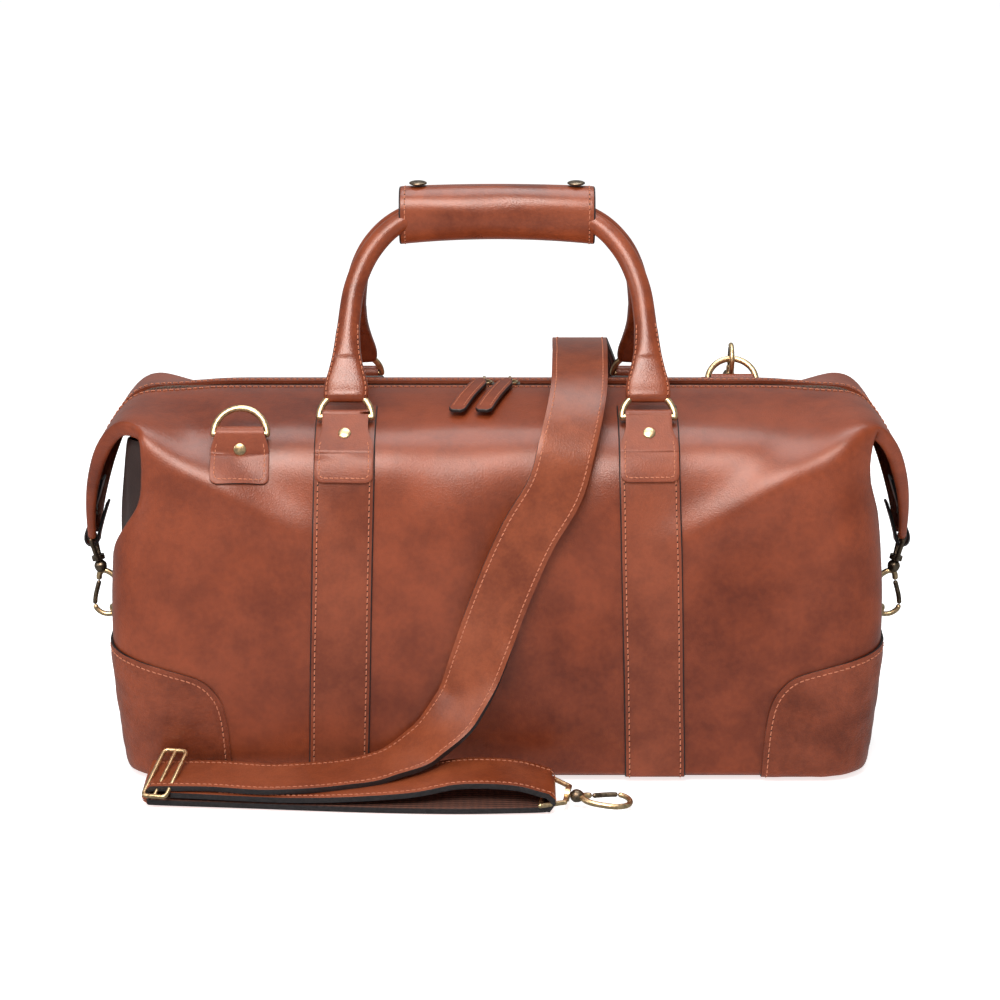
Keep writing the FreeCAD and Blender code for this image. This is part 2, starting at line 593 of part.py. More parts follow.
def assembly():
    parts = shell_parts()
    parts["base_board"] = base_board()
    wing = right_wing()
    parts.update(zip_parts(wing))
    parts.update(bands())
    parts.update(corner_patches())

    handle_chape = chape(BAND_WIDTH / 2, RING_BAR, 204, BAND)
    fronts = [moved(handle_chape, side * BAND_X) for _, side in ENDS]
    parts["front_chapes"] = Part.makeCompound(fronts)
    parts["rear_chapes"] = Part.makeCompound([mirrored(chape_, Y) for chape_ in fronts])
    ring_tab = chape(20.0, TAB_BAR, 204, 0.0)
    front_tab = moved(ring_tab, FRONT_TAB_X)
    parts["ring_tabs"] = Part.makeCompound([front_tab, mirrored(moved(ring_tab, REAR_TAB_X), Y)])
    front_rivets = [rivet(side * BAND_X, over, parts["front_bands"])
                    for (_, side), over in zip(ENDS, fronts)]
    tab_rivet = rivet(FRONT_TAB_X, front_tab)
    rear_rivets = [mirrored(r, Y) for r in front_rivets] + [mirrored(mirrored(tab_rivet, Y), X)]
    parts["rivets"] = Part.makeCompound(front_rivets + [tab_rivet] + rear_rivets)

    parts["front_d_ring"] = placed(d_ring(), FRONT_RING_LEAN, V(FRONT_TAB_X, -TAB_BAR[0], TAB_BAR[1]))
    parts["rear_d_ring"] = placed(d_ring(), REAR_RING_TILT, V(REAR_TAB_X, TAB_BAR[0], TAB_BAR[1]))

    parts["front_handle"], parts["front_handle_rings"] = front_handle()
    parts["rear_handle"] = mirrored(parts["front_handle"], Y)
    parts["rear_handle_rings"] = mirrored(parts["front_handle_rings"], Y)
    parts.update(grip_parts(parts["front_handle"], parts["rear_handle"]))

    ring, tab = pull()
    for name, side in ENDS:
        parts[name + "_slider"] = moved(slider(), side * SLIDER_X)
        parts[name + "_pull_ring"] = moved(ring, side * SLIDER_X)
        parts[name + "_pull_tab"] = moved(tab, side * SLIDER_X)

    parts.update(side_rings_and_clips())
    parts["right_wing"] = wing.cut(parts["right_clip_eye"])
    parts["left_wing"] = mirrored(parts["right_wing"], X)
    parts["lining"] = lining().cut(parts["right_wing"]).cut(parts["left_wing"])
    rear_parts, rear_bar = rear_hook()
    parts.update({"rear_hook_" + part: shape for part, shape in rear_parts.items()})
    parts.update({"floor_hook_" + part: shape for part, shape in floor_hook().items()})
    parts["strap_buckle"] = buckle()
    parts.update(strap(rear_bar, [parts["strap_buckle"], parts["floor_hook_eye"]]))
    return parts


os.makedirs("parts", exist_ok=True)
nodes = assembly()
for node, shape in nodes.items():
    if not shape.isValid() or shape.Volume <= 0:
        print("check", node, shape.isValid(), shape.Volume)
    shape.exportStep("parts/" + node + ".step")
print(len(nodes), "nodes")
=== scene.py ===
import bpy
import math
from mathutils import Matrix, Vector


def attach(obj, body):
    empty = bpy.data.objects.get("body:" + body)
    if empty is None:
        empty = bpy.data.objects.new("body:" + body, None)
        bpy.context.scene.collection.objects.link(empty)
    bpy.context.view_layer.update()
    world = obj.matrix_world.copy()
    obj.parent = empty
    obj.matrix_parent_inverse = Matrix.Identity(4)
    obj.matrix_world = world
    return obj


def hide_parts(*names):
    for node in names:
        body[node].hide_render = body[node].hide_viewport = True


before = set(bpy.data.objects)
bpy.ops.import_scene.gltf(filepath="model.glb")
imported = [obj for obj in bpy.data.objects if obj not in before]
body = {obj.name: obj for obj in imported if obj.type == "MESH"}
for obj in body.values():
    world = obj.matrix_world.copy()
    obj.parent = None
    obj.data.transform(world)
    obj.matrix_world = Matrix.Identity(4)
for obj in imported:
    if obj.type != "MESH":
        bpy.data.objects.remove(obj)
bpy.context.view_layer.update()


# --- Studio -------------------------------------------------------------------------------------
# A pale floor in a white surround, kept out of reflections so that the hide stays deep in colour. Soft
# boxes stand overhead, in front and at the left; a warm one in front adds only sheen. A long lens.
scene = bpy.context.scene
scene.view_settings.view_transform = "Standard"
bpy.ops.object.select_all(action="DESELECT")
bpy.ops.mesh.primitive_plane_add(size=60, location=(0, 0, -0.0006))
floor = bpy.context.object
floor.name = "floor"
floor.visible_glossy = False
floor_paint = bpy.data.materials.new("pale_floor")
floor_paint.use_nodes = True
floor_shader = floor_paint.node_tree.nodes["Principled BSDF"]
floor_shader.inputs["Base Color"].default_value = (0.93, 0.93, 0.935, 1)
floor_shader.inputs["Roughness"].default_value = 0.7
floor_shader.inputs["Emission Color"].default_value = (1, 1, 1, 1)
floor_shader.inputs["Emission Strength"].default_value = 0.72
floor.data.materials.append(floor_paint)

world = bpy.data.worlds.new("white_surround")
world.use_nodes = True
world.node_tree.nodes["Background"].inputs["Color"].default_value = (1.0, 1.0, 1.0, 1)
world.node_tree.nodes["Background"].inputs["Strength"].default_value = 0.32
scene.world = world


def soft_box(name, place, size, power):
    """An area light aimed at the middle of the bag."""
    bpy.ops.object.light_add(type="AREA", location=place)
    lamp = bpy.context.object
    lamp.name = name
    lamp.data.size = size
    lamp.data.energy = power
    lamp.rotation_euler = (Vector((0, 0, 0.15)) - lamp.location).to_track_quat("-Z", "Y").to_euler()


soft_box("overhead_box", (0.1, 0.2, 1.9), 1.1, 20)
soft_box("front_box", (-0.25, -1.7, 1.9), 1.0, 31)
soft_box("left_box", (-1.7, -0.9, 0.9), 0.6, 5)
soft_box("sheen_box", (-0.5, -1.5, 1.75), 1.5, 58)
sheen_box = bpy.context.object
sheen_box.visible_diffuse = False
sheen_box.data.color = (1.0, 0.74, 0.60)

bpy.ops.object.camera_add()
camera = bpy.context.object
camera.name = "camera"
camera.data.lens = 107
camera.data.sensor_width = 36
VIEW_TARGET = Vector((0.002, 0, 0.172))
VIEW_LIFT = math.radians(13)
camera.location = VIEW_TARGET + Vector((0, -math.cos(VIEW_LIFT), math.sin(VIEW_LIFT))) * 2.1
camera.rotation_euler = (VIEW_TARGET - camera.location).to_track_quat("-Z", "Y").to_euler()
scene.camera = camera


# --- Cognac leather -----------------------------------------------------------------------------
# Smooth vegetable-tanned hide, hand finished: a warm brown that is cloudy and darker in places, a
# fine pore grain and a soft burnished shine. All the leather pieces share the cloud and grain groups.
def new_group(name, inputs, outputs):
    """An empty shader node group with float and colour sockets, and its in and out nodes."""
    group = bpy.data.node_groups.new(name, "ShaderNodeTree")
    for socket, value in inputs:
        kind = "NodeSocketColor" if isinstance(value, tuple) else "NodeSocketFloat"
        group.interface.new_socket(socket, in_out="INPUT", socket_type=kind).default_value = value
    for socket, kind in outputs:
        group.interface.new_socket(socket, in_out="OUTPUT", socket_type=kind)
    return group, group.nodes.new("NodeGroupInput"), group.nodes.new("NodeGroupOutput")


def math_node(tree, operation, a, b, clamp=False):
    """A Math node fed by sockets or plain numbers."""
    node = tree.nodes.new("ShaderNodeMath")
    node.operation = operation
    node.use_clamp = clamp
    for i, value in enumerate((a, b)):
        if isinstance(value, (int, float)):
            node.inputs[i].default_value = value
        else:
            tree.links.new(value, node.inputs[i])
    return node.outputs[0]


def noise(tree, vector, scale, detail, roughness=0.5):
    node = tree.nodes.new("ShaderNodeTexNoise")
    node.inputs["Detail"].default_value = detail
    node.inputs["Roughness"].default_value = roughness
    if isinstance(scale, (int, float)):
        node.inputs["Scale"].default_value = scale
    else:
        tree.links.new(scale, node.inputs["Scale"])
    tree.links.new(vector, node.inputs["Vector"])
    return node.outputs["Fac"]


def ramp(tree, value, low, high, low_out=0.0, high_out=1.0):
    """Map a value smoothly from low..high to low_out..high_out."""
    node = tree.nodes.new("ShaderNodeMapRange")
    node.interpolation_type = "SMOOTHSTEP"
    limits = {"From Min": low, "From Max": high, "To Min": low_out, "To Max": high_out}
    for socket, number in limits.items():
        node.inputs[socket].default_value = number
    tree.links.new(value, node.inputs["Value"])
    return node.outputs["Result"]


def blend_colours(tree, share, first, second, kind="MIX"):
    node = tree.nodes.new("ShaderNodeMix")
    node.data_type = "RGBA"
    node.blend_type = kind
    for name, value in (("Factor", share), ("A", first), ("B", second)):
        if isinstance(value, (int, float, tuple)):
            node.inputs[name].default_value = value
        else:
            tree.links.new(value, node.inputs[name])
    return node.outputs["Result"]


def leather_cloud_group():
    """Cloudy hide colour: broad darker patches, fine mottling and burnished streaks."""
    group, inside, out = new_group(
        "hide_cloud",
        [("Scale", 1.0), ("Light", (0.45, 0.15, 0.07, 1)), ("Dark", (0.15, 0.035, 0.015, 1))],
        [("Colour", "NodeSocketColor"), ("Patch", "NodeSocketFloat")])
    place = group.nodes.new("ShaderNodeTexCoord").outputs["Object"]
    broad = noise(group, place, math_node(group, "MULTIPLY", inside.outputs["Scale"], 5.5), 3, 0.55)
    fine = noise(group, place, math_node(group, "MULTIPLY", inside.outputs["Scale"], 42.0), 4, 0.6)
    speck = noise(group, place, math_node(group, "MULTIPLY", inside.outputs["Scale"], 260.0), 2, 0.5)
    patch = ramp(group, broad, 0.34, 0.68)
    mottle = math_node(group, "MULTIPLY", ramp(group, fine, 0.3, 0.7), 0.34)
    specks = math_node(group, "MULTIPLY", ramp(group, speck, 0.35, 0.65), 0.12)
    share = math_node(group, "ADD", math_node(group, "MULTIPLY", patch, 0.5), mottle)
    share = math_node(group, "ADD", share, specks, True)
    colour = blend_colours(group, share, inside.outputs["Light"], inside.outputs["Dark"])
    group.links.new(colour, out.inputs["Colour"])
    group.links.new(patch, out.inputs["Patch"])
    return group


def leather_grain_group():
    """Height of the hide's surface: pores, fine creases and slow unevenness."""
    group, inside, out = new_group(
        "hide_grain", [("Pore Scale", 900.0), ("Crease", 0.35)], [("Height", "NodeSocketFloat")])
    place = group.nodes.new("ShaderNodeTexCoord").outputs["Object"]
    cells = group.nodes.new("ShaderNodeTexVoronoi")
    cells.feature = "F1"
    group.links.new(place, cells.inputs["Vector"])
    group.links.new(inside.outputs["Pore Scale"], cells.inputs["Scale"])
    pores = math_node(group, "MULTIPLY", cells.outputs["Distance"], 0.35)
    creases = noise(group, place, 170.0, 5, 0.62)
    creases = math_node(group, "MULTIPLY", creases, inside.outputs["Crease"])
    slow = math_node(group, "MULTIPLY", noise(group, place, 26.0, 2, 0.5), 1.6)
    height = math_node(group, "ADD", math_node(group, "ADD", pores, creases), slow)
    group.links.new(height, out.inputs["Height"])
    return group


cloud_group = leather_cloud_group()
grain_group = leather_grain_group()


def new_material(name):
    material = bpy.data.materials.new(name)
    material.use_nodes = True
    return material, material.node_tree, material.node_tree.nodes["Principled BSDF"]


def add_bump(tree, shader, height, strength, distance):
    bump = tree.nodes.new("ShaderNodeBump")
    bump.inputs["Strength"].default_value = strength
    bump.inputs["Distance"].default_value = distance
    tree.links.new(height, bump.inputs["Height"])
    tree.links.new(bump.outputs["Normal"], shader.inputs["Normal"])


def leather(name, light, dark, roughness=0.36, shine=0.20, scale=1.0, grain=0.35, crease=0.35):
    """A leather material between a light and a dark colour."""
    material, tree, shader = new_material(name)
    cloud = tree.nodes.new("ShaderNodeGroup")
    cloud.node_tree = cloud_group
    cloud.inputs["Scale"].default_value = scale
    cloud.inputs["Light"].default_value = (*light, 1)
    cloud.inputs["Dark"].default_value = (*dark, 1)
    tree.links.new(cloud.outputs["Colour"], shader.inputs["Base Color"])
    rough = ramp(tree, cloud.outputs["Patch"], 0.0, 1.0, roughness + 0.05, roughness - 0.06)
    tree.links.new(rough, shader.inputs["Roughness"])
    shader.inputs["Coat Weight"].default_value = shine
    shader.inputs["Coat Roughness"].default_value = 0.26
    shader.inputs["Specular IOR Level"].default_value = 0.36
    height = tree.nodes.new("ShaderNodeGroup")
    height.node_tree = grain_group
    height.inputs["Crease"].default_value = crease
    add_bump(tree, shader, height.outputs["Height"], grain, 0.0008)
    return material


hide = leather("cognac_hide", (0.275, 0.050, 0.013), (0.105, 0.016, 0.005))


# --- Black edge paint, thread and webbing -------------------------------------------------------
# Cut edges are sealed with black paint; seams are sewn in a thick salmon thread through punched
# holes; the strap is backed with ribbed brown webbing.
def plain(name, colour, roughness, bump_scale, bump_strength, metallic=0.0, spread=0.35):
    """A simple surface with a little colour and height variation."""
    material, tree, shader = new_material(name)
    place = tree.nodes.new("ShaderNodeTexCoord").outputs["Object"]
    grain = noise(tree, place, bump_scale, 3, 0.55)
    low = tuple(c * (1 - spread) for c in colour) + (1,)
    high = tuple(min(c * (1 + spread), 1.0) for c in colour) + (1,)
    tree.links.new(blend_colours(tree, ramp(tree, grain, 0.3, 0.7), low, high), shader.inputs["Base Color"])
    rough = ramp(tree, grain, 0.2, 0.8, roughness - 0.06, roughness + 0.08)
    tree.links.new(rough, shader.inputs["Roughness"])
    shader.inputs["Metallic"].default_value = metallic
    add_bump(tree, shader, grain, bump_strength, 0.0003)
    return material


edge_paint = plain("edge_paint", (0.014, 0.011, 0.012), 0.42, 600, 0.5)
thread = plain("salmon_thread", (0.52, 0.17, 0.085), 0.7, 2500, 0.6)
worn_brass = plain("worn_brass", (0.62, 0.47, 0.27), 0.33, 500, 0.10, 1.0, 0.22)
dark_brass = plain("dark_brass", (0.17, 0.135, 0.095), 0.36, 420, 0.15, 1.0, 0.4)
# The needle holes are flat near-black discs: painted shade standing for the shade inside each hole.
needle_hole_shade = plain("needle_hole_shade", (0.012, 0.006, 0.004), 0.9, 900, 0.2)
trim_hide = leather("band_hide", (0.275, 0.055, 0.017), (0.130, 0.022, 0.007), 0.42, 0.12, 1.6)
tab_hide = leather("tab_hide", (0.29, 0.058, 0.018), (0.150, 0.026, 0.009), 0.44, 0.08, 2.2)
handle_hide = leather("handle_hide", (0.30, 0.060, 0.017), (0.110, 0.017, 0.005), 0.33, 0.26, 2.0)
strap_hide = leather("strap_hide", (0.32, 0.070, 0.021), (0.140, 0.024, 0.007), 0.38, 0.16, 1.8)
patch_hide = leather("patch_hide", (0.26, 0.050, 0.015), (0.095, 0.015, 0.004), 0.34, 0.22, 1.8, 0.75, 1.5)


def webbing_material():
    """Woven ribs along the length, crossed by fine weft lines; the colour is painted shade in the grooves
    and painted light on the crests.
    """
    material, tree, shader = new_material("ribbed_webbing")
    split = tree.nodes.new("ShaderNodeSeparateXYZ")
    tree.links.new(tree.nodes.new("ShaderNodeTexCoord").outputs["UV"], split.inputs["Vector"])
    ribs = math_node(tree, "SINE", math_node(tree, "MULTIPLY", split.outputs["X"], 2 * math.pi * 14), 0)
    weft = math_node(tree, "SINE", math_node(tree, "MULTIPLY", split.outputs["Y"], 2 * math.pi * 300), 0)
    height = math_node(tree, "ADD", ribs, math_node(tree, "MULTIPLY", weft, 0.35))
    # The colour follows the rib height: painted shade in the grooves and painted light on the crests, over
    # the webbing's brown.
    shade = ramp(tree, height, -1.2, 1.2)
    tree.links.new(blend_colours(tree, shade, (0.045, 0.012, 0.007, 1), (0.15, 0.042, 0.020, 1)),
                   shader.inputs["Base Color"])
    shader.inputs["Roughness"].default_value = 0.75
    add_bump(tree, shader, height, 0.6, 0.0005)
    return material


webbing = webbing_material()


# --- Front and rear panels ----------------------------------------------------------------------
# Each panel is one hide, from the base up the face, over the shoulder and the top to the zip. Its
# top corners run on past the ends as wings that fold out and down, and every free edge is rolled.
def smooth(share):
    share = min(max(share, 0.0), 1.0)
    return share * share * (3 - 2 * share)


class Curve:
    """A smooth open curve through points, read by its share of length from 0 to 1."""

    def __init__(self, points, steps=16):
        points = [Vector(p) for p in points]
        ends = [points[0] * 2 - points[1]] + points + [points[-1] * 2 - points[-2]]
        line = []
        for a, b, c, d in zip(ends, ends[1:], ends[2:], ends[3:]):
            for i in range(steps):
                t = i / steps
                line.append(0.5 * (b * 2 + (c - a) * t + (a * 2 - b * 5 + c * 4 - d) * t * t
                                   + (b * 3 - a - c * 3 + d) * t ** 3))
        line.append(points[-1])
        self.line = line
        self.reach = [0.0]
        for a, b in zip(line, line[1:]):
            self.reach.append(self.reach[-1] + (b - a).length)
        self.length = self.reach[-1]

    def at(self, distance):
        """The point at a distance along the curve, in metres."""
        distance = min(max(distance, 0.0), self.length)
        low, high = 0, len(self.reach) - 1
        while high - low > 1:
            mid = (low + high) // 2
            if self.reach[mid] <= distance:
                low = mid
            else:
                high = mid
        span = self.reach[high] - self.reach[low]
        share = (distance - self.reach[low]) / span if span else 0.0
        return self.line[low].lerp(self.line[high], share)

    def share(self, share):
        return self.at(share * self.length)


GIRTH = Curve([(-0.097, 0.0028), (-0.107, 0.0040), (-0.1125, 0.012), (-0.1155, 0.05), (-0.118, 0.10),
               (-0.1175, 0.15), (-0.1135, 0.195), (-0.1045, 0.223), (-0.087, 0.2395), (-0.06, 0.2482),
               (-0.03, 0.2545), (-0.0085, 0.2563)])
WING_LINE = Curve([(0.2, 0.2563), (0.2345, 0.2555), (0.2505, 0.2510), (0.2630, 0.2400), (0.2740, 0.2230),
                   (0.2820, 0.1990), (0.2862, 0.1750), (0.2882, 0.1500)])
END_REACH = Curve([(0.0, 0.2530), (0.03, 0.2570), (0.08, 0.2615), (0.12, 0.2625), (0.17, 0.2600),
                   (0.21, 0.2545), (0.26, 0.2460)])
END_EDGE = {-1: Curve([(0.0, 0.105), (0.12, 0.105), (0.150, 0.080), (0.175, 0.054), (0.193, 0.039),
                       (0.213, 0.036)]),
            1: Curve([(0.0, 0.105), (0.12, 0.105), (0.150, 0.094), (0.175, 0.079), (0.195, 0.064),
                      (0.213, 0.055)])}
STRAIGHT = 0.2                 # the panels lie straight along the bag as far as this
CORNER = 0.034
RIDGE = 0.0055                 # how far the diagonal fold below each top corner stands out


def between(curve, value):
    """Read a smooth table: the second coordinate where the first one reaches a value."""
    low, high = 0, len(curve.line) - 1
    while high - low > 1:
        mid = (low + high) // 2
        if curve.line[mid].x <= value:
            low = mid
        else:
            high = mid
    first, last = curve.line[low], curve.line[high]
    share = min(max((value - first.x) / (last.x - first.x), 0.0), 1.0)
    return first.y + (last.y - first.y) * share


def wavy(x, z, face):
    """The soft unevenness of a stuffed leather face."""
    return (0.0016 * math.sin(23 * x + 1.3 + face) * math.sin(17 * z + 0.4)
            + 0.0011 * math.sin(47 * x + 31 * z + 2 * face) + 0.0007 * math.sin(71 * x - 53 * z + 0.8))


def hide_point(a, t, face=-1):
    """The panel's surface: a runs along the bag's length, t from the base edge to the zip."""
    side = 1 if a >= 0 else -1
    along = abs(a)
    y, z = GIRTH.share(t)
    beyond = along - STRAIGHT
    if beyond <= 0:
        point = Vector((along, y, z))
    else:
        end = between(END_REACH, z)
        straight = end - CORNER - STRAIGHT
        turn = min(max((beyond - straight) / CORNER, 0.0), math.pi / 2)
        past = max(0.0, beyond - straight - CORNER * math.pi / 2)
        x = STRAIGHT + min(beyond, straight) + CORNER * math.sin(turn)
        wrapped = Vector((x, y + CORNER * (1 - math.cos(turn)) + past, z))
        line = WING_LINE.at(beyond)
        drop = (GIRTH.line[-1].y - z) * (1 - smooth(beyond / 0.075))
        wing = Vector((line.x, y, line.y - drop))
        point = wrapped.lerp(wing, smooth((z - 0.203) / 0.036))
    ridge_z = 0.168 + 0.058 * smooth((along - 0.10) / 0.14)
    strength = smooth((along - 0.06) / 0.13) * (1 - smooth((beyond - 0.03) / 0.03))
    ridge = RIDGE * strength * math.exp(-((z - ridge_z) / 0.015) ** 2)
    hollow = 0.0045 * strength * math.exp(-((z - ridge_z - 0.026) / 0.012) ** 2)
    soft = wavy(side * along, z, face) * smooth(z / 0.03) * (1 - smooth((z - 0.235) / 0.012))
    push = ridge + soft
    point.y -= push
    point.z += hollow * -0.6
    return Vector((side * point.x, -face * point.y, point.z))


def edge_reach(t, side):
    """How far past the straight part a panel's row runs: round the corner, to the peak or along a wing."""
    y, z = GIRTH.share(t)
    edge = between(END_EDGE[side], z)
    if y < -0.095:
        return edge
    share = min((y + 0.095) / (0.095 - 0.013), 1.0)
    return edge + (WING_LINE.length - edge) * share ** 0.85


def lifted(a, t, height, face=-1):
    """A point above the panel's surface."""
    step = 0.0015
    across = hide_point(a + step, t, face) - hide_point(a - step, t, face)
    t_low, t_high = max(t - 0.004, 0.0), min(t + 0.004, 1.0)
    upward = hide_point(a, t_high, face) - hide_point(a, t_low, face)
    out = across.cross(upward) * -face
    return hide_point(a, t, face) + out.normalized() * height


def panel(name, face):
    """The whole hide of one side, with its rolled ends."""
    columns, rows, roll = 132, 84, 7
    bpy.ops.object.select_all(action="DESELECT")
    bpy.ops.mesh.primitive_grid_add(x_subdivisions=columns, y_subdivisions=rows, size=2)
    piece = bpy.context.object
    piece.name = name
    flat_share = 0.62
    for vert in piece.data.vertices:
        column = round((vert.co.x + 1) / 2 * columns)
        t = (vert.co.y + 1) / 2
        side = 1 if column > columns / 2 else -1
        steps = abs(column - columns / 2)
        last = columns / 2 - roll
        reach = STRAIGHT + edge_reach(t, side)
        share = min(steps / last, 1.0)
        if share < flat_share:
            along = share / flat_share * (STRAIGHT - 0.01)
        else:
            along = STRAIGHT - 0.01 + (share - flat_share) / (1 - flat_share) * (reach - STRAIGHT + 0.01)
        point = hide_point(side * along, t, face)
        if steps > last:
            tight = 0.0052 - 0.0022 * smooth((t - 0.8) / 0.2)
            turn = (steps - last) / roll * math.radians(190)
            out = (lifted(side * along, t, 1.0, face) - point).normalized()
            off = (point - hide_point(side * (along - 0.003), t, face)).normalized()
            point = point + off * tight * math.sin(turn) - out * tight * (1 - math.cos(turn))
        vert.co = point
    return piece


def choose(*pieces):
    """Select these pieces alone, with the first one active."""
    bpy.ops.object.select_all(action="DESELECT")
    for piece in pieces:
        piece.select_set(True)
    bpy.context.view_layer.objects.active = pieces[0]


def thick(piece, thickness, offset=-1.0):
    """Give a sheet its wall, grown inward, with smooth shading and crisp edges."""
    choose(piece)
    wall = piece.modifiers.new("wall", "SOLIDIFY")
    wall.thickness = thickness
    wall.offset = offset
    wall.use_even_offset = False
    bpy.ops.object.modifier_apply(modifier=wall.name)
    bpy.ops.object.shade_smooth_by_angle(angle=math.radians(50))


def face_outward(piece, outside):
    """Turn a sheet's faces so that they look towards a point outside."""
    face = min(piece.data.polygons, key=lambda f: (f.center - Vector(outside)).length)
    if face.normal.dot(Vector(outside) - face.center) < 0:
        piece.data.flip_normals()


for name, face, node in (("front_hide", -1, "front_panel"), ("rear_hide", 1, "rear_panel")):
    piece = panel(name, face)
    face_outward(piece, (0, face * 1.0, 0.15))
    thick(piece, 0.0022)
    piece.data.materials.append(hide)
    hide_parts(node)
    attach(piece, "bag")


# --- Lining -------------------------------------------------------------------------------------
# Thin cotton twill that hangs just inside the hides. It can only be seen through the zip.
def sheet(name, columns, rows, place):
    """A grid with every point moved to where place(u, v) puts it; u and v run from 0 to 1."""
    bpy.ops.object.select_all(action="DESELECT")
    bpy.ops.mesh.primitive_grid_add(x_subdivisions=columns, y_subdivisions=rows, size=2)
    piece = bpy.context.object
    piece.name = name
    for vert in piece.data.vertices:
        vert.co = place((vert.co.x + 1) / 2, (vert.co.y + 1) / 2)
    return piece


lining_cloth = plain("twill_lining", (0.09, 0.075, 0.055), 0.85, 1800, 0.5)
lining_parts = []
for face in (-1, 1):
    half = sheet(f"lining_side_{'front' if face < 0 else 'rear'}", 40, 30,
                 lambda u, v, face=face: lifted((u - 0.5) * 2 * 0.228, 0.03 + v * 0.95, -0.0055, face))
    lining_parts.append(half)
choose(*lining_parts)
bpy.ops.object.join()
lining_piece = bpy.context.object
lining_piece.name = "lining_cloth"
bpy.ops.object.shade_smooth()
lining_piece.data.materials.append(lining_cloth)
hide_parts("lining")
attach(lining_piece, "bag")


# --- End gussets --------------------------------------------------------------------------------
# One hide at each end, sewn inside the panels' rolled edges. It is flat low down and pleated under the
# wing.
def girth_share(z):
    """How far up the panel a height is reached, as a share of its girth."""
    low, high = 0.0, 1.0
    for _ in range(24):
        mid = (low + high) / 2
        if GIRTH.share(mid).y < z:
            low = mid
        else:
            high = mid
    return low


def gusset_point(u, v, side):
    z = 0.004 + v * 0.228
    rise = smooth((z - 0.125) / 0.06)
    rim = lifted(STRAIGHT + between(END_EDGE[side], z) - 0.006, girth_share(z), -0.0066)
    reach = -rim.y
    y = (u - 0.5) * 2 * reach
    inward = smooth((reach - abs(y)) / 0.026)
    depth = 0.004 * rise * max(1 - (y / 0.09) ** 2, 0.0)
    pleats = 0.0046 * rise * math.cos(y / 0.0105 + 30 * z) * inward
    dents = 0.0012 * math.sin(60 * y + 25 * z) * (1 - rise) * inward
    middle = between(END_REACH, z) - 0.0034
    x = rim.x + (middle - rim.x) * inward - depth + pleats + dents
    return Vector((side * x, y, z))


# The gussets are coloured almost black: painted shade of the hollow under each wing, laid over a brown
# hide.
gusset_hide = leather("gusset_hide", (0.040, 0.018, 0.014), (0.016, 0.008, 0.007), 0.42, 0.10)
for name, side in (("left_gusset", -1), ("right_gusset", 1)):
    gusset = sheet(name + "_hide", 72, 60, lambda u, v, side=side: gusset_point(u, v, side))
    face_outward(gusset, (side * 1.0, 0, 0.1))
    thick(gusset, 0.0022)
    gusset.data.materials.append(gusset_hide)
    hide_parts(name)
    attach(gusset, "bag")


# --- Base ---------------------------------------------------------------------------------------
# A flat leather bottom with rounded corners, sewn up inside the foot of the panels.
BASE_LONG, BASE_DEEP, BASE_CORNER = 0.2485, 0.1010, 0.030


def base_place(u, v):
    x, y = (u - 0.5) * 2 * BASE_LONG, (v - 0.5) * 2 * BASE_DEEP
    over_x, over_y = abs(x) - (BASE_LONG - BASE_CORNER), abs(y) - (BASE_DEEP - BASE_CORNER)
    if over_x > 0 and over_y > 0:
        pull = max(over_x, over_y) / math.hypot(over_x, over_y)
        x = math.copysign(BASE_LONG - BASE_CORNER + over_x * pull, x)
        y = math.copysign(BASE_DEEP - BASE_CORNER + over_y * pull, y)
    return Vector((x, y, 0.0070))


base = sheet("base_hide", 80, 40, base_place)
thick(base, 0.0055)
base.data.materials.append(hide)
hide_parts("base_panel")
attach(base, "bag")


# --- Vertical bands -----------------------------------------------------------------------------
# Straps of the same hide sewn to the panels from the base up over the shoulder, where the chapes
# start. Their edges are painted black and a seam runs just inside each edge.
def slab(piece, thickness, materials, bevel=0.0011, outward=True):
    """Thicken a sheet away from its face, paint the rim and round the edges."""
    if not outward:
        piece.data.flip_normals()
    for material in materials:
        piece.data.materials.append(material)
    choose(piece)
    wall = piece.modifiers.new("wall", "SOLIDIFY")
    wall.thickness = thickness
    wall.offset = 1.0
    wall.material_offset_rim = 1
    wall.material_offset = 2 if len(materials) > 2 else 0
    bpy.ops.object.modifier_apply(modifier=wall.name)
    if bevel:
        soft = piece.modifiers.new("soft", "BEVEL")
        soft.width = bevel
        soft.segments = 2
        soft.limit_method = "ANGLE"
        soft.angle_limit = math.radians(60)
        soft.material = 1
        bpy.ops.object.modifier_apply(modifier=soft.name)
    bpy.ops.object.shade_smooth_by_angle(angle=math.radians(60))


STITCH = ((0, 0.45, -0.25), (0.12, 0.85, 0.25), (0.5, 1.0, 0.55), (0.88, 0.85, 0.25), (1, 0.45, -0.25))


def raw_piece(name, verts, faces):
    mesh = bpy.data.meshes.new(name)
    mesh.from_pydata(verts, [], faces)
    piece = bpy.data.objects.new(name, mesh)
    bpy.context.collection.objects.link(piece)
    return piece


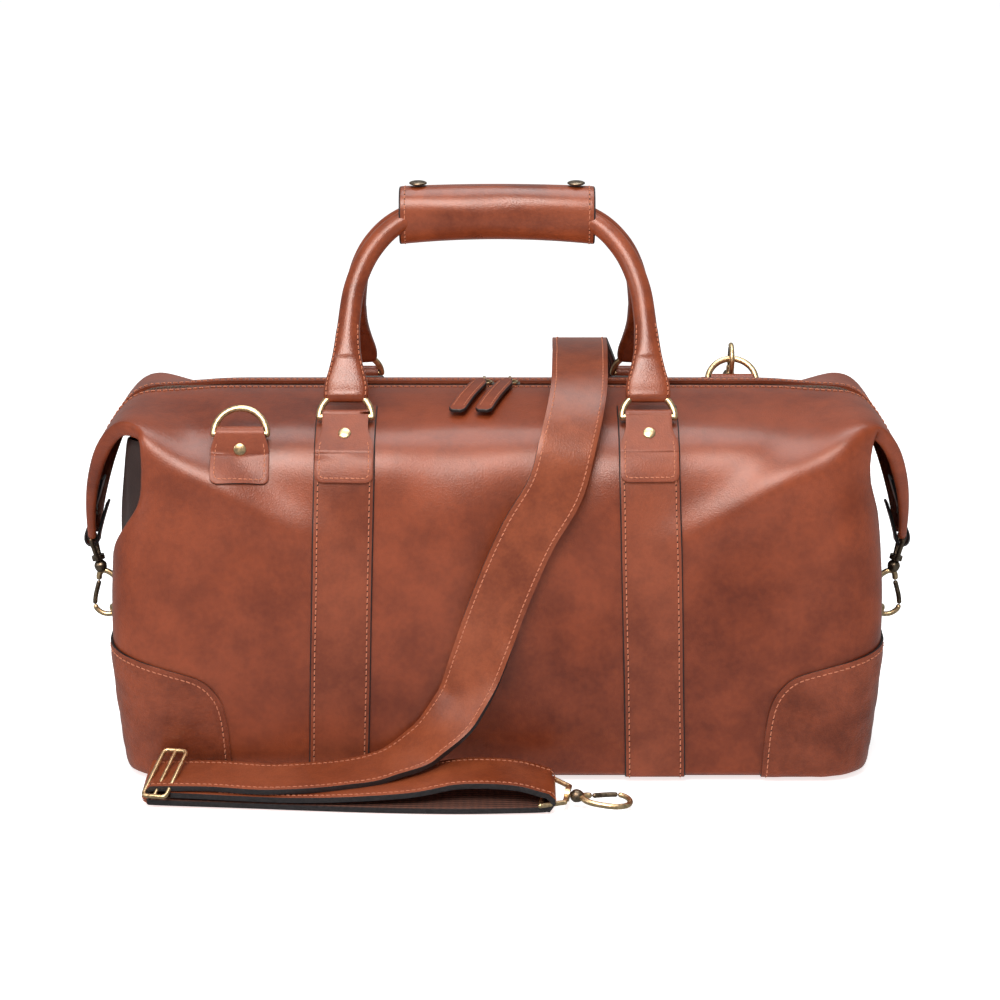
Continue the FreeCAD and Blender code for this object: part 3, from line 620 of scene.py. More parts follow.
def seam(name, line, pitch=0.0042, radius=0.00042, body_name="bag", slant=0.12):
    """Thread stitches along a line of (point, outward) pairs, with a near-black disc of painted shade
    standing for the hole at every gap.
    """
    verts, faces, marks = [], [], []
    reach = [0.0]
    for (a, _), (b, _) in zip(line, line[1:]):
        reach.append(reach[-1] + (b - a).length)
    count = max(1, round(reach[-1] / pitch))
    step = reach[-1] / count

    def at(distance):
        distance = min(max(distance, 0.0), reach[-1])
        k = next((i for i, r in enumerate(reach) if r > distance), len(reach) - 1)
        share = (distance - reach[k - 1]) / max(reach[k] - reach[k - 1], 1e-9)
        return line[k - 1][0].lerp(line[k][0], share), line[k - 1][1].lerp(line[k][1], share).normalized()

    for n in range(count):
        start, out = at(n * step + step * 0.10)
        end, out = at(n * step + step * 0.90)
        along = end - start
        across = along.cross(out).normalized()
        start, end = start - across * slant * 0.001, end + across * slant * 0.001
        first = len(verts)
        for share, size, rise in STITCH:
            centre = start.lerp(end, share) + out * radius * rise
            for k in range(6):
                angle = k * math.pi / 3
                verts.append(centre + (across * math.cos(angle) + out * math.sin(angle)) * radius * size)
        for ring in range(4):
            for k in range(6):
                a, b = first + ring * 6 + k, first + ring * 6 + (k + 1) % 6
                faces.append((a, a + 6, b + 6, b))
                marks.append(0)
        # A flat near-black disc of painted shade stands for the needle hole at this gap.
        centre, out = at(n * step)
        centre = centre + out * 0.00006
        along = along.normalized()
        first = len(verts)
        for k in range(6):
            angle = k * math.pi / 3
            verts.append(centre + (across * math.cos(angle) + along * math.sin(angle)) * radius * 1.35)
        faces.append(tuple(range(first + 5, first - 1, -1)) if along.cross(across).dot(out) > 0
                     else tuple(range(first, first + 6)))
        marks.append(1)
    piece = raw_piece(name, [tuple(v) for v in verts], faces)
    piece.data.materials.append(thread)
    piece.data.materials.append(needle_hole_shade)
    for polygon, mark in zip(piece.data.polygons, marks):
        polygon.material_index = mark
        polygon.use_smooth = True
    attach(piece, body_name)


def outward_at(a, t, face):
    return (lifted(a, t, 1.0, face) - hide_point(a, t, face)).normalized()


def splayed(middle, t):
    """The middle of a band, which leans out a little towards the base."""
    return middle + math.copysign(0.0062, middle) * max(0.0, 1 - t / 0.66)


BAND_HALF, BAND_THICK, BAND_FOOT, BAND_REACH = 0.0205, 0.0018, 0.004, 0.86
SEAM_INSET = 0.0032            # from a strap's edge to its seam
for face, node in ((-1, "front_bands"), (1, "rear_bands")):
    pair = []
    for middle in (-0.102, 0.102):
        def band_place(u, v, middle=middle, face=face):
            t = BAND_FOOT + v * BAND_REACH
            return lifted(splayed(middle, t) + (u - 0.5) * 2 * BAND_HALF, t, -0.0002, face)

        band = sheet(f"{node}_{'left' if middle < 0 else 'right'}", 12, 90, band_place)
        pair.append(band)
        for edge in (-1, 1):
            line = []
            for step in range(5, 146):
                t = step / 200
                a = splayed(middle, t) + edge * (BAND_HALF - SEAM_INSET)
                line.append((lifted(a, t, BAND_THICK - 0.0001, face), outward_at(a, t, face)))
            seam(f"{band.name}_seam_{'l' if edge < 0 else 'r'}", line)
    choose(*pair)
    bpy.ops.object.join()
    bands = bpy.context.object
    bands.name = node + "_hide"
    slab(bands, BAND_THICK, (trim_hide, edge_paint), outward=face < 0)
    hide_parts(node)
    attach(bands, "bag")


# --- Chapes and ring tabs -----------------------------------------------------------------------
# Tabs with rounded feet, sewn over the bands and the panel. Each rises to its ring, goes over the
# bar and comes back down inside; a rivet goes through it just under the ring.
TAB_HALF, TAB_TOP_HALF, TAB_THICK = 0.0195, 0.0155, 0.0022
TAB_FOOT, TAB_LEAVES = 0.2095, 0.2285      # heights where a tab starts and where it leaves the panel


def tab_path(middle, bar, lift, face):
    """Points up a tab, over its bar and back down."""
    line = []
    start, stop = girth_share(TAB_FOOT), girth_share(TAB_LEAVES)
    for i in range(13):
        t = start + (stop - start) * i / 12
        line.append(lifted(middle, t, lift, face))
    y, z = bar
    radius = 0.0030
    for degrees in (170, 140, 110, 80, 50, 20, -10, -35):
        angle = math.radians(degrees)
        line.append(Vector((middle, -face * (-y + radius * math.cos(angle)), z + radius * math.sin(angle))))
    line.append(Vector((middle, -face * (-y + 0.0085), z - 0.0065)))
    return line


def ribbon(name, points, across, half_width, thickness, materials, columns=8, steps=120, outward=True,
           bevel=0.0011, body_name="bag", settle=None):
    """A strap along a smooth line; half_width is a number or a function of distance and length."""
    curve = Curve(points)
    stations = curve.reach[::16]

    def hint(distance):
        """The across direction, blended between the ones given at the points."""
        if isinstance(across, Vector):
            return across
        k = next((i for i, r in enumerate(stations) if r > distance), len(stations) - 1)
        share = smooth((distance - stations[k - 1]) / (stations[k] - stations[k - 1]))
        return across[k - 1].lerp(across[k], share)

    def frame_at(v):
        share = v * curve.length
        here = curve.at(share)
        tangent = (curve.at(share + 0.0012) - curve.at(share - 0.0012)).normalized()
        side = hint(share)
        side = (side - tangent * side.dot(tangent)).normalized()
        return here, side

    def place(u, v):
        here, side = frame_at(v)
        half = half_width(v * curve.length, curve.length) if callable(half_width) else half_width
        point = here + side * (u - 0.5) * 2 * half
        return settle(v * curve.length, point, here) if settle else point

    piece = sheet(name, columns, steps, place)
    slab(piece, thickness, materials, bevel, outward)
    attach(piece, body_name)
    return piece, curve, frame_at


def tab_width(distance, length):
    """Half the width of a tab: a rounded foot, then a slight taper to the ring."""
    corner, inset = 0.005, 0.0
    if distance < corner:
        inset = corner - math.sqrt(max(corner ** 2 - (corner - distance) ** 2, 0.0))
    return TAB_HALF + (TAB_TOP_HALF - TAB_HALF) * smooth((distance - 0.024) / 0.018) - inset


def dome(name, spot, turn, radius, height, material):
    """A flattened round head of metal, turned to stand on its spot."""
    bpy.ops.object.select_all(action="DESELECT")
    bpy.ops.mesh.primitive_uv_sphere_add(segments=32, ring_count=16, radius=1)
    head = bpy.context.object
    head.name = name
    head.data.transform(Matrix.Translation(spot) @ turn @ Matrix.Diagonal((radius, radius, height, 1)))
    bpy.ops.object.shade_smooth()
    head.data.materials.append(material)
    return head


tab_sets = [("front_chapes", -1, (-0.102, 0.102), (0.082, 0.2482), BAND_THICK),
            ("rear_chapes", 1, (-0.102, 0.102), (0.082, 0.2482), BAND_THICK),
            ("ring_tab_front", -1, (-0.172,), (0.096, 0.2395), 0.0),
            ("ring_tab_rear", 1, (0.172,), (0.096, 0.2395), 0.0)]
for name, face, middles, bar, lift in tab_sets:
    for middle in middles:
        def settle(distance, point, here, middle=middle, lift=lift, face=face):
            """Keep the foot of the tab on the panel across its whole width."""
            t = girth_share(here.z)
            grip = 1 - smooth((here.z - 0.222) / 0.008)
            own = lifted(point.x, t, lift, face) - lifted(middle, t, lift, face)
            return point + Vector((0, own.y, own.z)) * grip if distance < 0.04 else point

        piece, curve, frame_at = ribbon(
            f"{name}_{'l' if middle < 0 else 'r'}", tab_path(middle, bar, lift, face), Vector((1, 0, 0)),
            tab_width, TAB_THICK, (tab_hide, edge_paint), 16, 90, face < 0, settle=settle)
        if name.endswith("chapes"):
            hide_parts(name)
        else:
            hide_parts("ring_tabs")

        def tab_spot(distance):
            """The tab's middle, its across direction and its outward direction."""
            here, side = frame_at(distance / curve.length)
            ahead = curve.at(distance + 0.001) - curve.at(distance - 0.001)
            return here, side, (side.cross(ahead) * -face).normalized()

        inset, step = 0.0030, 0.001
        edge = [(-(tab_width(0.030 - step * i, 1) - inset), 0.030 - step * i) for i in range(27)]
        reach = TAB_HALF - inset - 0.002
        foot = [(i * step - reach, inset) for i in range(int(reach * 2 / step) + 1)]
        line = []
        for x, d in edge + foot + [(-x, d) for x, d in reversed(edge)]:
            here, side, out = tab_spot(d)
            line.append((settle(d, here + side * x, here) + out * (TAB_THICK - 0.0001), out))
        seam(f"{piece.name}_seam", line, 0.0036)
        below_bar = bar[1] - 0.0095
        spot = next(d / 10000 for d in range(1000) if curve.at(d / 10000).z > below_bar)
        here, side, out = tab_spot(spot)
        turn = out.to_track_quat("Z", "Y").to_matrix().to_4x4()
        rivet = dome(f"{piece.name}_rivet", here + out * TAB_THICK, turn, 0.0043, 0.0013, worn_brass)
        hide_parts("rivets")
        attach(rivet, "bag")


# --- Corner patches -----------------------------------------------------------------------------
# A creased second layer over each lower corner, cut in a curve on the face, wrapped round the end and
# sewn along its upper edge.
PATCH_THICK = 0.0017
PATCH_FOOT, PATCH_END, PATCH_HIGH = 0.180, 0.318, 0.101
PATCH_EDGE = Curve([(PATCH_FOOT, 0.0), (0.1815, 0.026), (0.1835, 0.045), (0.1870, 0.0585), (0.1935, 0.0685),
                    (0.2030, 0.0755), (0.220, 0.0810), (0.245, 0.0885), (0.270, 0.0940), (0.295, 0.0985),
                    (PATCH_END, PATCH_HIGH)])
PATCH_CORNER = 0.385           # share of the edge where its side turns into its top


def patch_spot(u, v):
    """Place in the panel's own (along, height) from the share across the patch and up it."""
    side = PATCH_EDGE.share(PATCH_CORNER * v)
    top = PATCH_EDGE.share(PATCH_CORNER + (1 - PATCH_CORNER) * u)
    far = Vector((PATCH_END, PATCH_HIGH * v))
    foot = Vector((PATCH_FOOT + (PATCH_END - PATCH_FOOT) * u, 0.0))
    corner = PATCH_EDGE.share(PATCH_CORNER)
    return (side * (1 - u) + far * u + foot * (1 - v) + top * v
            - (Vector((PATCH_FOOT, 0.0)) * (1 - u) * (1 - v) + Vector((PATCH_END, 0.0)) * u * (1 - v)
               + corner * (1 - u) * v + Vector((PATCH_END, PATCH_HIGH)) * u * v))


def on_panel(a, z, lift, side, face):
    return lifted(side * a, max(girth_share(z), 0.004), lift, face)


def patch_crease(a, z):
    return 0.0006 * math.sin(190 * a + 60 * z) * math.sin(130 * z - 70 * a + 1.0)


for name, side, face in (("front_left_patch", -1, -1), ("front_right_patch", 1, -1),
                         ("rear_left_patch", -1, 1), ("rear_right_patch", 1, 1)):
    def patch_place(u, v, side=side, face=face):
        spot = patch_spot(u, v)
        rub = patch_crease(spot.x, spot.y) * min(1.0, 8 * min(u, 1 - u, v, 1 - v))
        return on_panel(spot.x, spot.y, 0.0002 + abs(rub), side, face)

    patch = sheet(name + "_hide", 44, 34, patch_place)
    slab(patch, PATCH_THICK, (patch_hide, edge_paint), outward=(side * face < 0))
    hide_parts(name)
    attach(patch, "bag")
    line = []
    for i in range(1, 100):
        spot = PATCH_EDGE.share(i / 100)
        ahead = (PATCH_EDGE.share(i / 100 + 0.005) - PATCH_EDGE.share(i / 100 - 0.005)).normalized()
        spot = spot + Vector((ahead.y, -ahead.x)) * 0.0036
        t = max(girth_share(spot.y), 0.004)
        out = outward_at(side * spot.x, t, face)
        line.append((on_panel(spot.x, spot.y, PATCH_THICK + 0.0002, side, face), out))
    seam(name + "_seam", line, 0.0040)


# --- Side tabs and wing tips --------------------------------------------------------------------
# A short doubled tab on each end holds the ring for the clip; at the wing's tip the folded hide is
# taken round the bar of the clip's eye and sewn down.
for name, side in (("left", -1), ("right", 1)):
    path = [(0.2608, 0.040), (0.2618, 0.052), (0.2628, 0.066), (0.2640, 0.076), (0.2690, 0.083),
            (0.2697, 0.0875), (0.2660, 0.0900), (0.2628, 0.0875), (0.2618, 0.080)]
    tab, curve, frame_at = ribbon(
        name + "_side_tab_hide", [(side * x, 0, z) for x, z in path], Vector((0, 1, 0)),
        lambda d, length: 0.0125 - 0.0022 * smooth((d - 0.03) / 0.01), 0.0020, (tab_hide, edge_paint),
        10, 50, side > 0)
    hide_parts(name + "_side_tab")
    edge = 0.0095
    outline = ([(-edge, 0.074 - 0.002 * i) for i in range(16)]
               + [(-edge + edge * i / 10, 0.0435) for i in range(21)]
               + [(edge, 0.0445 + 0.002 * i) for i in range(16)])
    line = [(Vector((side * (0.2627 + 0.0022 * (z - 0.04) / 0.026), y, z)), Vector((side, 0, 0)))
            for y, z in outline]
    seam(name + "_side_tab_seam", line, 0.0036)

    tip = [(0.2765, 0.1885), (0.2822, 0.170), (0.2868, 0.156), (0.2897, 0.1475), (0.2893, 0.1428),
           (0.2865, 0.1412), (0.2837, 0.1428), (0.2828, 0.1475), (0.2800, 0.158), (0.2755, 0.172)]
    loop, curve, frame_at = ribbon(
        name + "_wing_tip", [(side * x, 0, z) for x, z in tip], Vector((0, 1, 0)),
        lambda d, length: 0.0068 + 0.003 * (1 - smooth(d / 0.03)), 0.0020, (tab_hide, edge_paint), 10, 60,
        side < 0)
    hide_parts(name + "_wing")


# --- Rolled handles -----------------------------------------------------------------------------
# Each handle is hide rolled round a cord. Its ends are opened flat, flared, folded round the D-ring and
# sewn; the two grips come together at the top.
LEAN = math.radians(29.7)
HANDLE_LINE = Curve([(-0.102, 0.0108), (-0.102, 0.03), (-0.1018, 0.05), (-0.1006, 0.070),
                     (-0.0975, 0.0925), (-0.0900, 0.1135), (-0.0790, 0.1300), (-0.0665, 0.1410),
                     (-0.053, 0.1472), (-0.03, 0.1494), (0.0, 0.1494)])
FLARE = Curve([(0.0, 0.0125), (0.004, 0.0150), (0.012, 0.0148), (0.024, 0.0118), (0.036, 0.0095),
               (0.050, 0.0082), (0.062, 0.0076), (0.13, 0.0070), (0.2, 0.0063), (0.4, 0.0063)])
DEPTH = Curve([(0.0, 0.0010), (0.0018, 0.0036), (0.005, 0.0048), (0.014, 0.0042), (0.030, 0.0050),
               (0.050, 0.0062), (0.2, 0.0063), (0.4, 0.0063)])
BAR_Y, BAR_Z = 0.082, 0.2482


def handle_point(x, v, out, face):
    """From the handle's own plane (x along the bag, v up it, out from it) to the scene."""
    y = -BAR_Y + v * math.sin(LEAN) - out * math.cos(LEAN)
    return Vector((x, -face * y, BAR_Z + v * math.cos(LEAN) + out * math.sin(LEAN)))


def handle_section(distance, angle, face, grow=0.0):
    """A point round the handle at a distance from one folded end."""
    total = HANDLE_LINE.length
    near = min(distance, 2 * total - distance)
    spot = HANDLE_LINE.at(near)
    ahead = (HANDLE_LINE.at(near + 0.001) - HANDLE_LINE.at(near - 0.001)).normalized()
    sideways = Vector((-ahead.y, ahead.x))
    flat = 1 - smooth((near - 0.02) / 0.03)
    power = 1 - 0.35 * flat
    wide, deep = between(FLARE, near) + grow, between(DEPTH, near) + grow
    c, s = math.cos(angle), math.sin(angle)
    p = wide * math.copysign(abs(c) ** power, c)
    q = deep * math.copysign(abs(s) ** power, s)
    x, v = spot.x + sideways.x * p, spot.y + sideways.y * p
    if distance > total:
        x = -x
    return handle_point(x, v, q, face)


def weld(piece):
    """Close a rolled-up sheet along its meeting edges."""
    choose(piece)
    bpy.ops.object.mode_set(mode="EDIT")
    bpy.ops.mesh.select_all(action="SELECT")
    bpy.ops.mesh.remove_doubles(threshold=0.00002)
    bpy.ops.mesh.normals_make_consistent(inside=False)
    bpy.ops.object.mode_set(mode="OBJECT")
    bpy.ops.object.shade_smooth_by_angle(angle=math.radians(60))


for name, face in (("front_handle", -1), ("rear_handle", 1)):
    total = 2 * HANDLE_LINE.length

    def handle_place(u, v, face=face):
        share = v - 0.033 * math.sin(4 * math.pi * v)      # rows closer together at the ends
        return handle_section(share * total, u * 2 * math.pi, face)

    tube = sheet(name + "_roll", 28, 260, handle_place)
    tube.data.materials.append(handle_hide)
    weld(tube)
    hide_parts(name)
    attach(tube, name)
    for end in (0, 1):
        for edge in (0.62, math.pi - 0.62):
            line = []
            for i in range(44):
                near = 0.0035 + 0.0012 * i
                distance = near if end == 0 else total - near
                here = handle_section(distance, edge, face)
                out = handle_section(distance, edge, face, 0.001) - here
                line.append((here, out.normalized()))
            seam(f"{name}_seam_{end}_{'a' if edge < 1 else 'b'}", line, 0.0036, body_name=name)


# --- Grip wrap ----------------------------------------------------------------------------------
# A padded leather wrap holds both handles together: a front and a rear half, and a flap along the top
# that is closed with two press studs.
GRIP_HALF, GRIP_Z, GRIP_DEEP, GRIP_TALL = 0.0675, 0.3765, 0.0185, 0.0190


def grip_point(x, angle, lift=0.0):
    """Round the grip; angle 0 is straight down, positive towards the front."""
    share = x / GRIP_HALF
    up = -math.cos(angle)
    soft = 0.0004 * math.sin(70 * x + 2 * angle) * math.sin(angle) ** 2
    pinch = 1 - 0.04 * share ** 2
    y = -(GRIP_DEEP + lift + soft) * math.copysign(abs(math.sin(angle)) ** 0.92, math.sin(angle)) * pinch
    z = (GRIP_TALL + lift) * math.copysign(abs(up) ** 0.92, up)
    return Vector((x, y, GRIP_Z + z - (0.0035 if up < 0 else 0.0016) * share ** 2 * abs(up)))


for name, face in (("grip_front", -1), ("grip_rear", 1)):
    def grip_place(u, v, face=face):
        x = (u - 0.5) * 2 * GRIP_HALF
        angle = -face * (0.012 + v * (math.pi - 0.024))
        return grip_point(x, angle, -0.0024)

    half = sheet(name + "_wrap", 60, 36, grip_place)
    slab(half, 0.0024, (handle_hide, edge_paint), outward=face < 0)
    owner = "front_handle" if face < 0 else "rear_handle"
    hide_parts(name)
    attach(half, owner)
    for end in (-1, 1):
        line = []
        for i in range(2, 59):
            angle = -face * (i / 60 * math.pi)
            here = grip_point(end * (GRIP_HALF - 0.004), angle)
            out = grip_point(end * (GRIP_HALF - 0.004), angle, 0.001) - here
            line.append((here, out.normalized()))
        seam(f"{name}_seam_{'l' if end < 0 else 'r'}", line, 0.0038, body_name=owner)


def flap_place(u, v):
    return grip_point((u - 0.5) * 2 * (GRIP_HALF - 0.0008), math.pi - (0.24 - v * 0.80), 0.0001)


flap = sheet("grip_flap_hide", 60, 14, flap_place)
slab(flap, 0.0020, (handle_hide, edge_paint), outward=False)
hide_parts("grip_flap")
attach(flap, "grip_flap")

for name, x in (("left_stud", -0.0545), ("right_stud", 0.0545)):
    stud = dome(name, grip_point(x, math.pi - 0.06, 0.0021), Matrix.Rotation(math.radians(5), 4, "X"),
                0.0062, 0.0016, dark_brass)
    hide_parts("grip_snaps")
    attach(stud, "grip_flap")


# --- Shoulder strap -----------------------------------------------------------------------------
# Hide on ribbed webbing, sewn along both edges. It is hooked to the rear ring, lies over the bag, runs
# along the floor, doubles back through the buckle and round the loose hook.
STRAP_HALF, STRAP_THICK = 0.019, 0.0038
FLOOR_TILT = math.radians(9)
LEAN_UP = Vector((0, math.cos(FLOOR_TILT), math.sin(FLOOR_TILT)))
LEAN_OUT = Vector((0, -math.sin(FLOOR_TILT), math.cos(FLOOR_TILT)))


def floor_line(x, layer, shift=0.0):
    """A point of the strap's run along the floor, in millimetres of stacking and shift."""
    y = -146 - 14 * (x + 218) / 250
    return (Vector((x, y, 9.8)) + LEAN_OUT * layer + LEAN_UP * shift) / 1000


UP, DOWN = Vector((1, 0, 0)), -LEAN_UP
strap_points, strap_across = [], []


def lay(point, across):
    strap_points.append(Vector(point))
    strap_across.append(Vector(across).normalized())


for point in ((171.5, 144.0, 190), (172, 143.2, 208), (172, 143.2, 224.5), (172, 147.1, 229.2),
              (172, 151.0, 224.5), (172, 149.8, 208)):
    lay(Vector(point) / 1000, (-1, 0, 0))
for point, across in (((170, 149, 192), (-1, .1, 0)), ((160, 150, 162), (-1, .6, 0)),
                      ((146, 151, 136), (-.4, 1, 0)), ((124, 151, 126), (0, 1, 0)),
                      ((104, 150, 138), (.4, 1, 0)), ((90, 146, 168), (1, .6, 0)), ((80, 136, 208), UP),
                      ((70, 114, 243), UP), ((62, 70, 268), UP), ((58, 20, 281), UP), ((57, -30, 280), UP),
                      ((54.5, -80, 262.5), (.97, 0, -.1)), ((47, -111, 236), (.95, 0, -.2)),
                      ((38.5, -120, 207), (.93, 0, -.35)), ((22, -123.5, 179), (.9, 0, -.42)),
                      ((10, -125, 153), (.9, 0, -.42)), ((-2.5, -126, 121), (.92, 0, -.38)),
                      ((-12, -127, 91), (.85, -.3, -.42)), ((-25, -129, 59), (.62, -.6, -.45)),
                      ((-48, -134, 33), (.4, -.8, -.35)), ((-75, -142, 20), (.15, -.95, -.2))):
    lay(Vector(point) / 1000, across)
for x, layer, shift in ((-105, 4.6, 6), (-150, 4.6, -2), (-190, 4.6, 1), (-228, 4.6, 0)):
    lay(floor_line(x, layer, shift), DOWN)
FOLD = 3.3                     # radius of the strap's two folds on the floor
for degrees in (45, 90, 135):
    angle = math.radians(degrees)
    lay(floor_line(-228 - FOLD * math.sin(angle), 1.3 + FOLD * math.cos(angle)), DOWN)
for x, shift in ((-228, 0), (-170, -2), (-90, -5), (-30, -5), (15, -2), (32, 0)):
    lay(floor_line(x, -2.0, shift), DOWN)
for degrees in (135, 90, 45):
    angle = math.radians(degrees)
    lay(floor_line(32 + FOLD * math.sin(angle), 1.3 + FOLD * math.cos(angle)), DOWN)
for x, layer, shift in ((32, 4.6, 0), (10, 8.5, 3), (-25, 8.5, 3), (-62, 3.5, -2), (-130, 0, -4),
                        (-215, 0, 0)):
    lay(floor_line(x, layer, shift), DOWN)

strap, strap_curve, strap_frame = ribbon(
    "shoulder_strap", strap_points, strap_across, STRAP_HALF, STRAP_THICK,
    (strap_hide, edge_paint, webbing), 8, 700, False)
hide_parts("strap_rear", "strap_front", "strap_floor", "strap_lower", "strap_return")
for edge in (-1, 1):
    line = []
    for i in range(1400):
        v = 0.02 + 0.96 * i / 1400
        here, side = strap_frame(v)
        distance = v * strap_curve.length
        out = (strap_curve.at(distance + 0.001) - strap_curve.at(distance - 0.001)).cross(side).normalized()
        line.append((here + side * edge * (STRAP_HALF - SEAM_INSET) + out * (STRAP_THICK - 0.0001), out))
    seam(f"strap_seam_{'a' if edge < 0 else 'b'}", line, 0.0038)


# --- Strap buckle -------------------------------------------------------------------------------
# A wire tri-glide: the strap's end is sewn round its middle bar and the long run passes over it. It sits
# across the strap's fold and tips up a little.
def buckle_wire(name, points, radius):
    """Wire through points: a closed frame, or a straight bar between two."""
    bpy.ops.object.select_all(action="DESELECT")
    bpy.ops.curve.primitive_bezier_curve_add()
    wire = bpy.context.object
    wire.name = name
    wire.data.splines.clear()
    spline = wire.data.splines.new("POLY")
    spline.points.add(len(points) - 1)
    for knot, point in zip(spline.points, points):
        knot.co = (*point, 1)
    spline.use_cyclic_u = len(points) > 2
    wire.data.dimensions = "3D"
    wire.data.bevel_depth = radius
    wire.data.bevel_resolution = 4
    wire.data.use_fill_caps = len(points) == 2
    bpy.ops.object.convert(target="MESH")
    piece = bpy.context.object
    bpy.ops.object.shade_smooth_by_angle(angle=math.radians(60))
    piece.data.materials.clear()
    piece.data.materials.append(worn_brass)
    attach(piece, "bag")
    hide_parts("strap_buckle")


BUCKLE_LONG, BUCKLE_WIDE, BUCKLE_ROUND = 0.0225, 0.0080, 0.0030
TIP = math.radians(26)
buckle_up = Vector((0.25, math.cos(TIP), math.sin(TIP))).normalized()
buckle_side = Vector((1, -0.25, 0)).normalized()
buckle_middle = floor_line(-222, 10.0, -3)
rim = []
for right, up, start in ((1, 1, 0), (-1, 1, 90), (-1, -1, 180), (1, -1, 270)):
    for step in range(5):
        angle = math.radians(start + step * 22.5)
        reach_x = (BUCKLE_WIDE - BUCKLE_ROUND) * right + BUCKLE_ROUND * math.cos(angle)
        reach_y = (BUCKLE_LONG - BUCKLE_ROUND) * up + BUCKLE_ROUND * math.sin(angle)
        rim.append(buckle_middle + buckle_side * reach_x + buckle_up * reach_y)
buckle_wire("buckle_frame", rim, 0.0015)
bar_reach = buckle_up * BUCKLE_LONG
buckle_wire("buckle_bar", [buckle_middle - bar_reach, buckle_middle + bar_reach], 0.0013)


# --- Zip ----------------------------------------------------------------------------------------
# Woven tapes sewn under both hides carry two rows of brass teeth. The zip runs the length of the top
# and down the middle of both wings; the hides are top-stitched along it.
tape_cloth = plain("zip_tape_cloth", (0.10, 0.030, 0.014), 0.85, 2200, 0.6)


def zip_line(a, y, drop):
    """A point by its distance along the zip from the middle, sunk under the hides."""
    side = 1 if a >= 0 else -1
    beyond = max(abs(a) - STRAIGHT, 0.0)
    spot = WING_LINE.at(beyond)
    ahead = WING_LINE.at(beyond + 0.002) - WING_LINE.at(beyond - 0.002)
    out = Vector((-ahead.y, ahead.x)).normalized()
    x = min(abs(a), STRAIGHT) + spot.x - STRAIGHT
    return Vector((side * (x - out.x * drop), y, spot.y - out.y * drop))


ZIP_REACH = STRAIGHT + WING_LINE.length - 0.012
for name, face in (("front_zip_tape", -1), ("rear_zip_tape", 1)):
    def tape_place(u, v, face=face):
        a = (u - 0.5) * 2 * ZIP_REACH
        narrowing = 1 - 0.45 * smooth((abs(a) - 0.25) / 0.08)      # towards the wing tips
        return zip_line(a, face * (0.0006 + 0.013 * v) * narrowing, 0.0034)

    tape = sheet(name + "_cloth", 150, 3, tape_place)
    thick(tape, 0.0007, 0)
    tape.data.materials.append(tape_cloth)
    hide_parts(name)
    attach(tape, "bag")
    line = []
    for i in range(-300, 301):
        a = i / 300 * (STRAIGHT + WING_LINE.length - 0.02)
        t = 0.985 - 0.006 * smooth((abs(a) - 0.24) / 0.06)
        line.append((hide_point(a, t, face) + Vector((0, 0, 0.0002)), outward_at(a, t, face)))
    seam(name.replace("tape", "seam"), line, 0.0042)

TOOTH_LONG, TOOTH_WIDE, TOOTH_DEEP, TOOTH_DROP, TOOTH_PITCH = 0.0014, 0.0030, 0.0020, 0.0024, 0.0026
TOOTH_FACES = ((0, 2, 3, 1), (2, 4, 5, 3), (4, 6, 7, 5), (6, 0, 1, 7), (0, 6, 4, 2), (1, 3, 5, 7))
verts, faces = [], []
count = int(2 * ZIP_REACH / TOOTH_PITCH)
for i in range(count):
    a = -ZIP_REACH + (i + 0.5) * 2 * ZIP_REACH / count
    near = zip_line(a - TOOTH_LONG / 2, 0, TOOTH_DROP)
    far = zip_line(a + TOOTH_LONG / 2, 0, TOOTH_DROP)
    deep = zip_line(a, 0, TOOTH_DROP + TOOTH_DEEP) - zip_line(a, 0, TOOTH_DROP)
    low, high = (-0.0008, TOOTH_WIDE) if i % 2 else (-TOOTH_WIDE, 0.0008)
    first = len(verts)
    for corner in (near, far, far + deep, near + deep):
        verts += [(corner.x, low, corner.z), (corner.x, high, corner.z)]
    faces += [tuple(first + k for k in face) for face in TOOTH_FACES]
teeth = raw_piece("zip_teeth_rows", verts, faces)
teeth.data.materials.append(dark_brass)
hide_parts("zip_teeth")
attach(teeth, "bag")


# --- Zip pulls ----------------------------------------------------------------------------------
# A stitched leather tongue hangs from the wire ring in each slider.
def tongue_width(distance, length):
    """Half the width of a tongue: narrow at its ring, with rounded corners at the free end."""
    corner = max(0.0, (distance - length + 0.004) / 0.004)
    return 0.0060 - 0.0032 * (1 - smooth(distance / 0.012)) - 0.0030 * corner ** 2


for name, side in (("left", -1), ("right", 1)):
    yaw, droop = math.radians(16), math.radians(5)
    ahead = Vector((-math.sin(yaw) * math.cos(droop), -math.cos(yaw) * math.cos(droop), -math.sin(droop)))
    start = Vector((side * 0.009, -0.005, 0.2592)) + ahead * 0.0035
    sags = ((0, 0), (0.019, 0), (0.042, 0.0010), (0.065, 0.0042))
    tongue, curve, frame_at = ribbon(
        name + "_pull_tongue", [start + ahead * reach - Vector((0, 0, sag)) for reach, sag in sags],
        Vector((math.cos(yaw), -math.sin(yaw), 0)), tongue_width, 0.0024, (tab_hide, edge_paint),
        8, 50, False, body_name=name + "_pull")
    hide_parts(name + "_pull_tab")
    for edge in (-1, 1):
        line = []
        for i in range(30):
            d = 0.009 + 0.050 * i / 29
            here, across = frame_at(d / curve.length)
            line.append((here + across * edge * 0.0036 + Vector((0, 0, 0.00235)), Vector((0, 0, 1))))
        seam(f"{name}_pull_seam_{'a' if edge < 0 else 'b'}", line, 0.0034, 0.00034, name + "_pull")


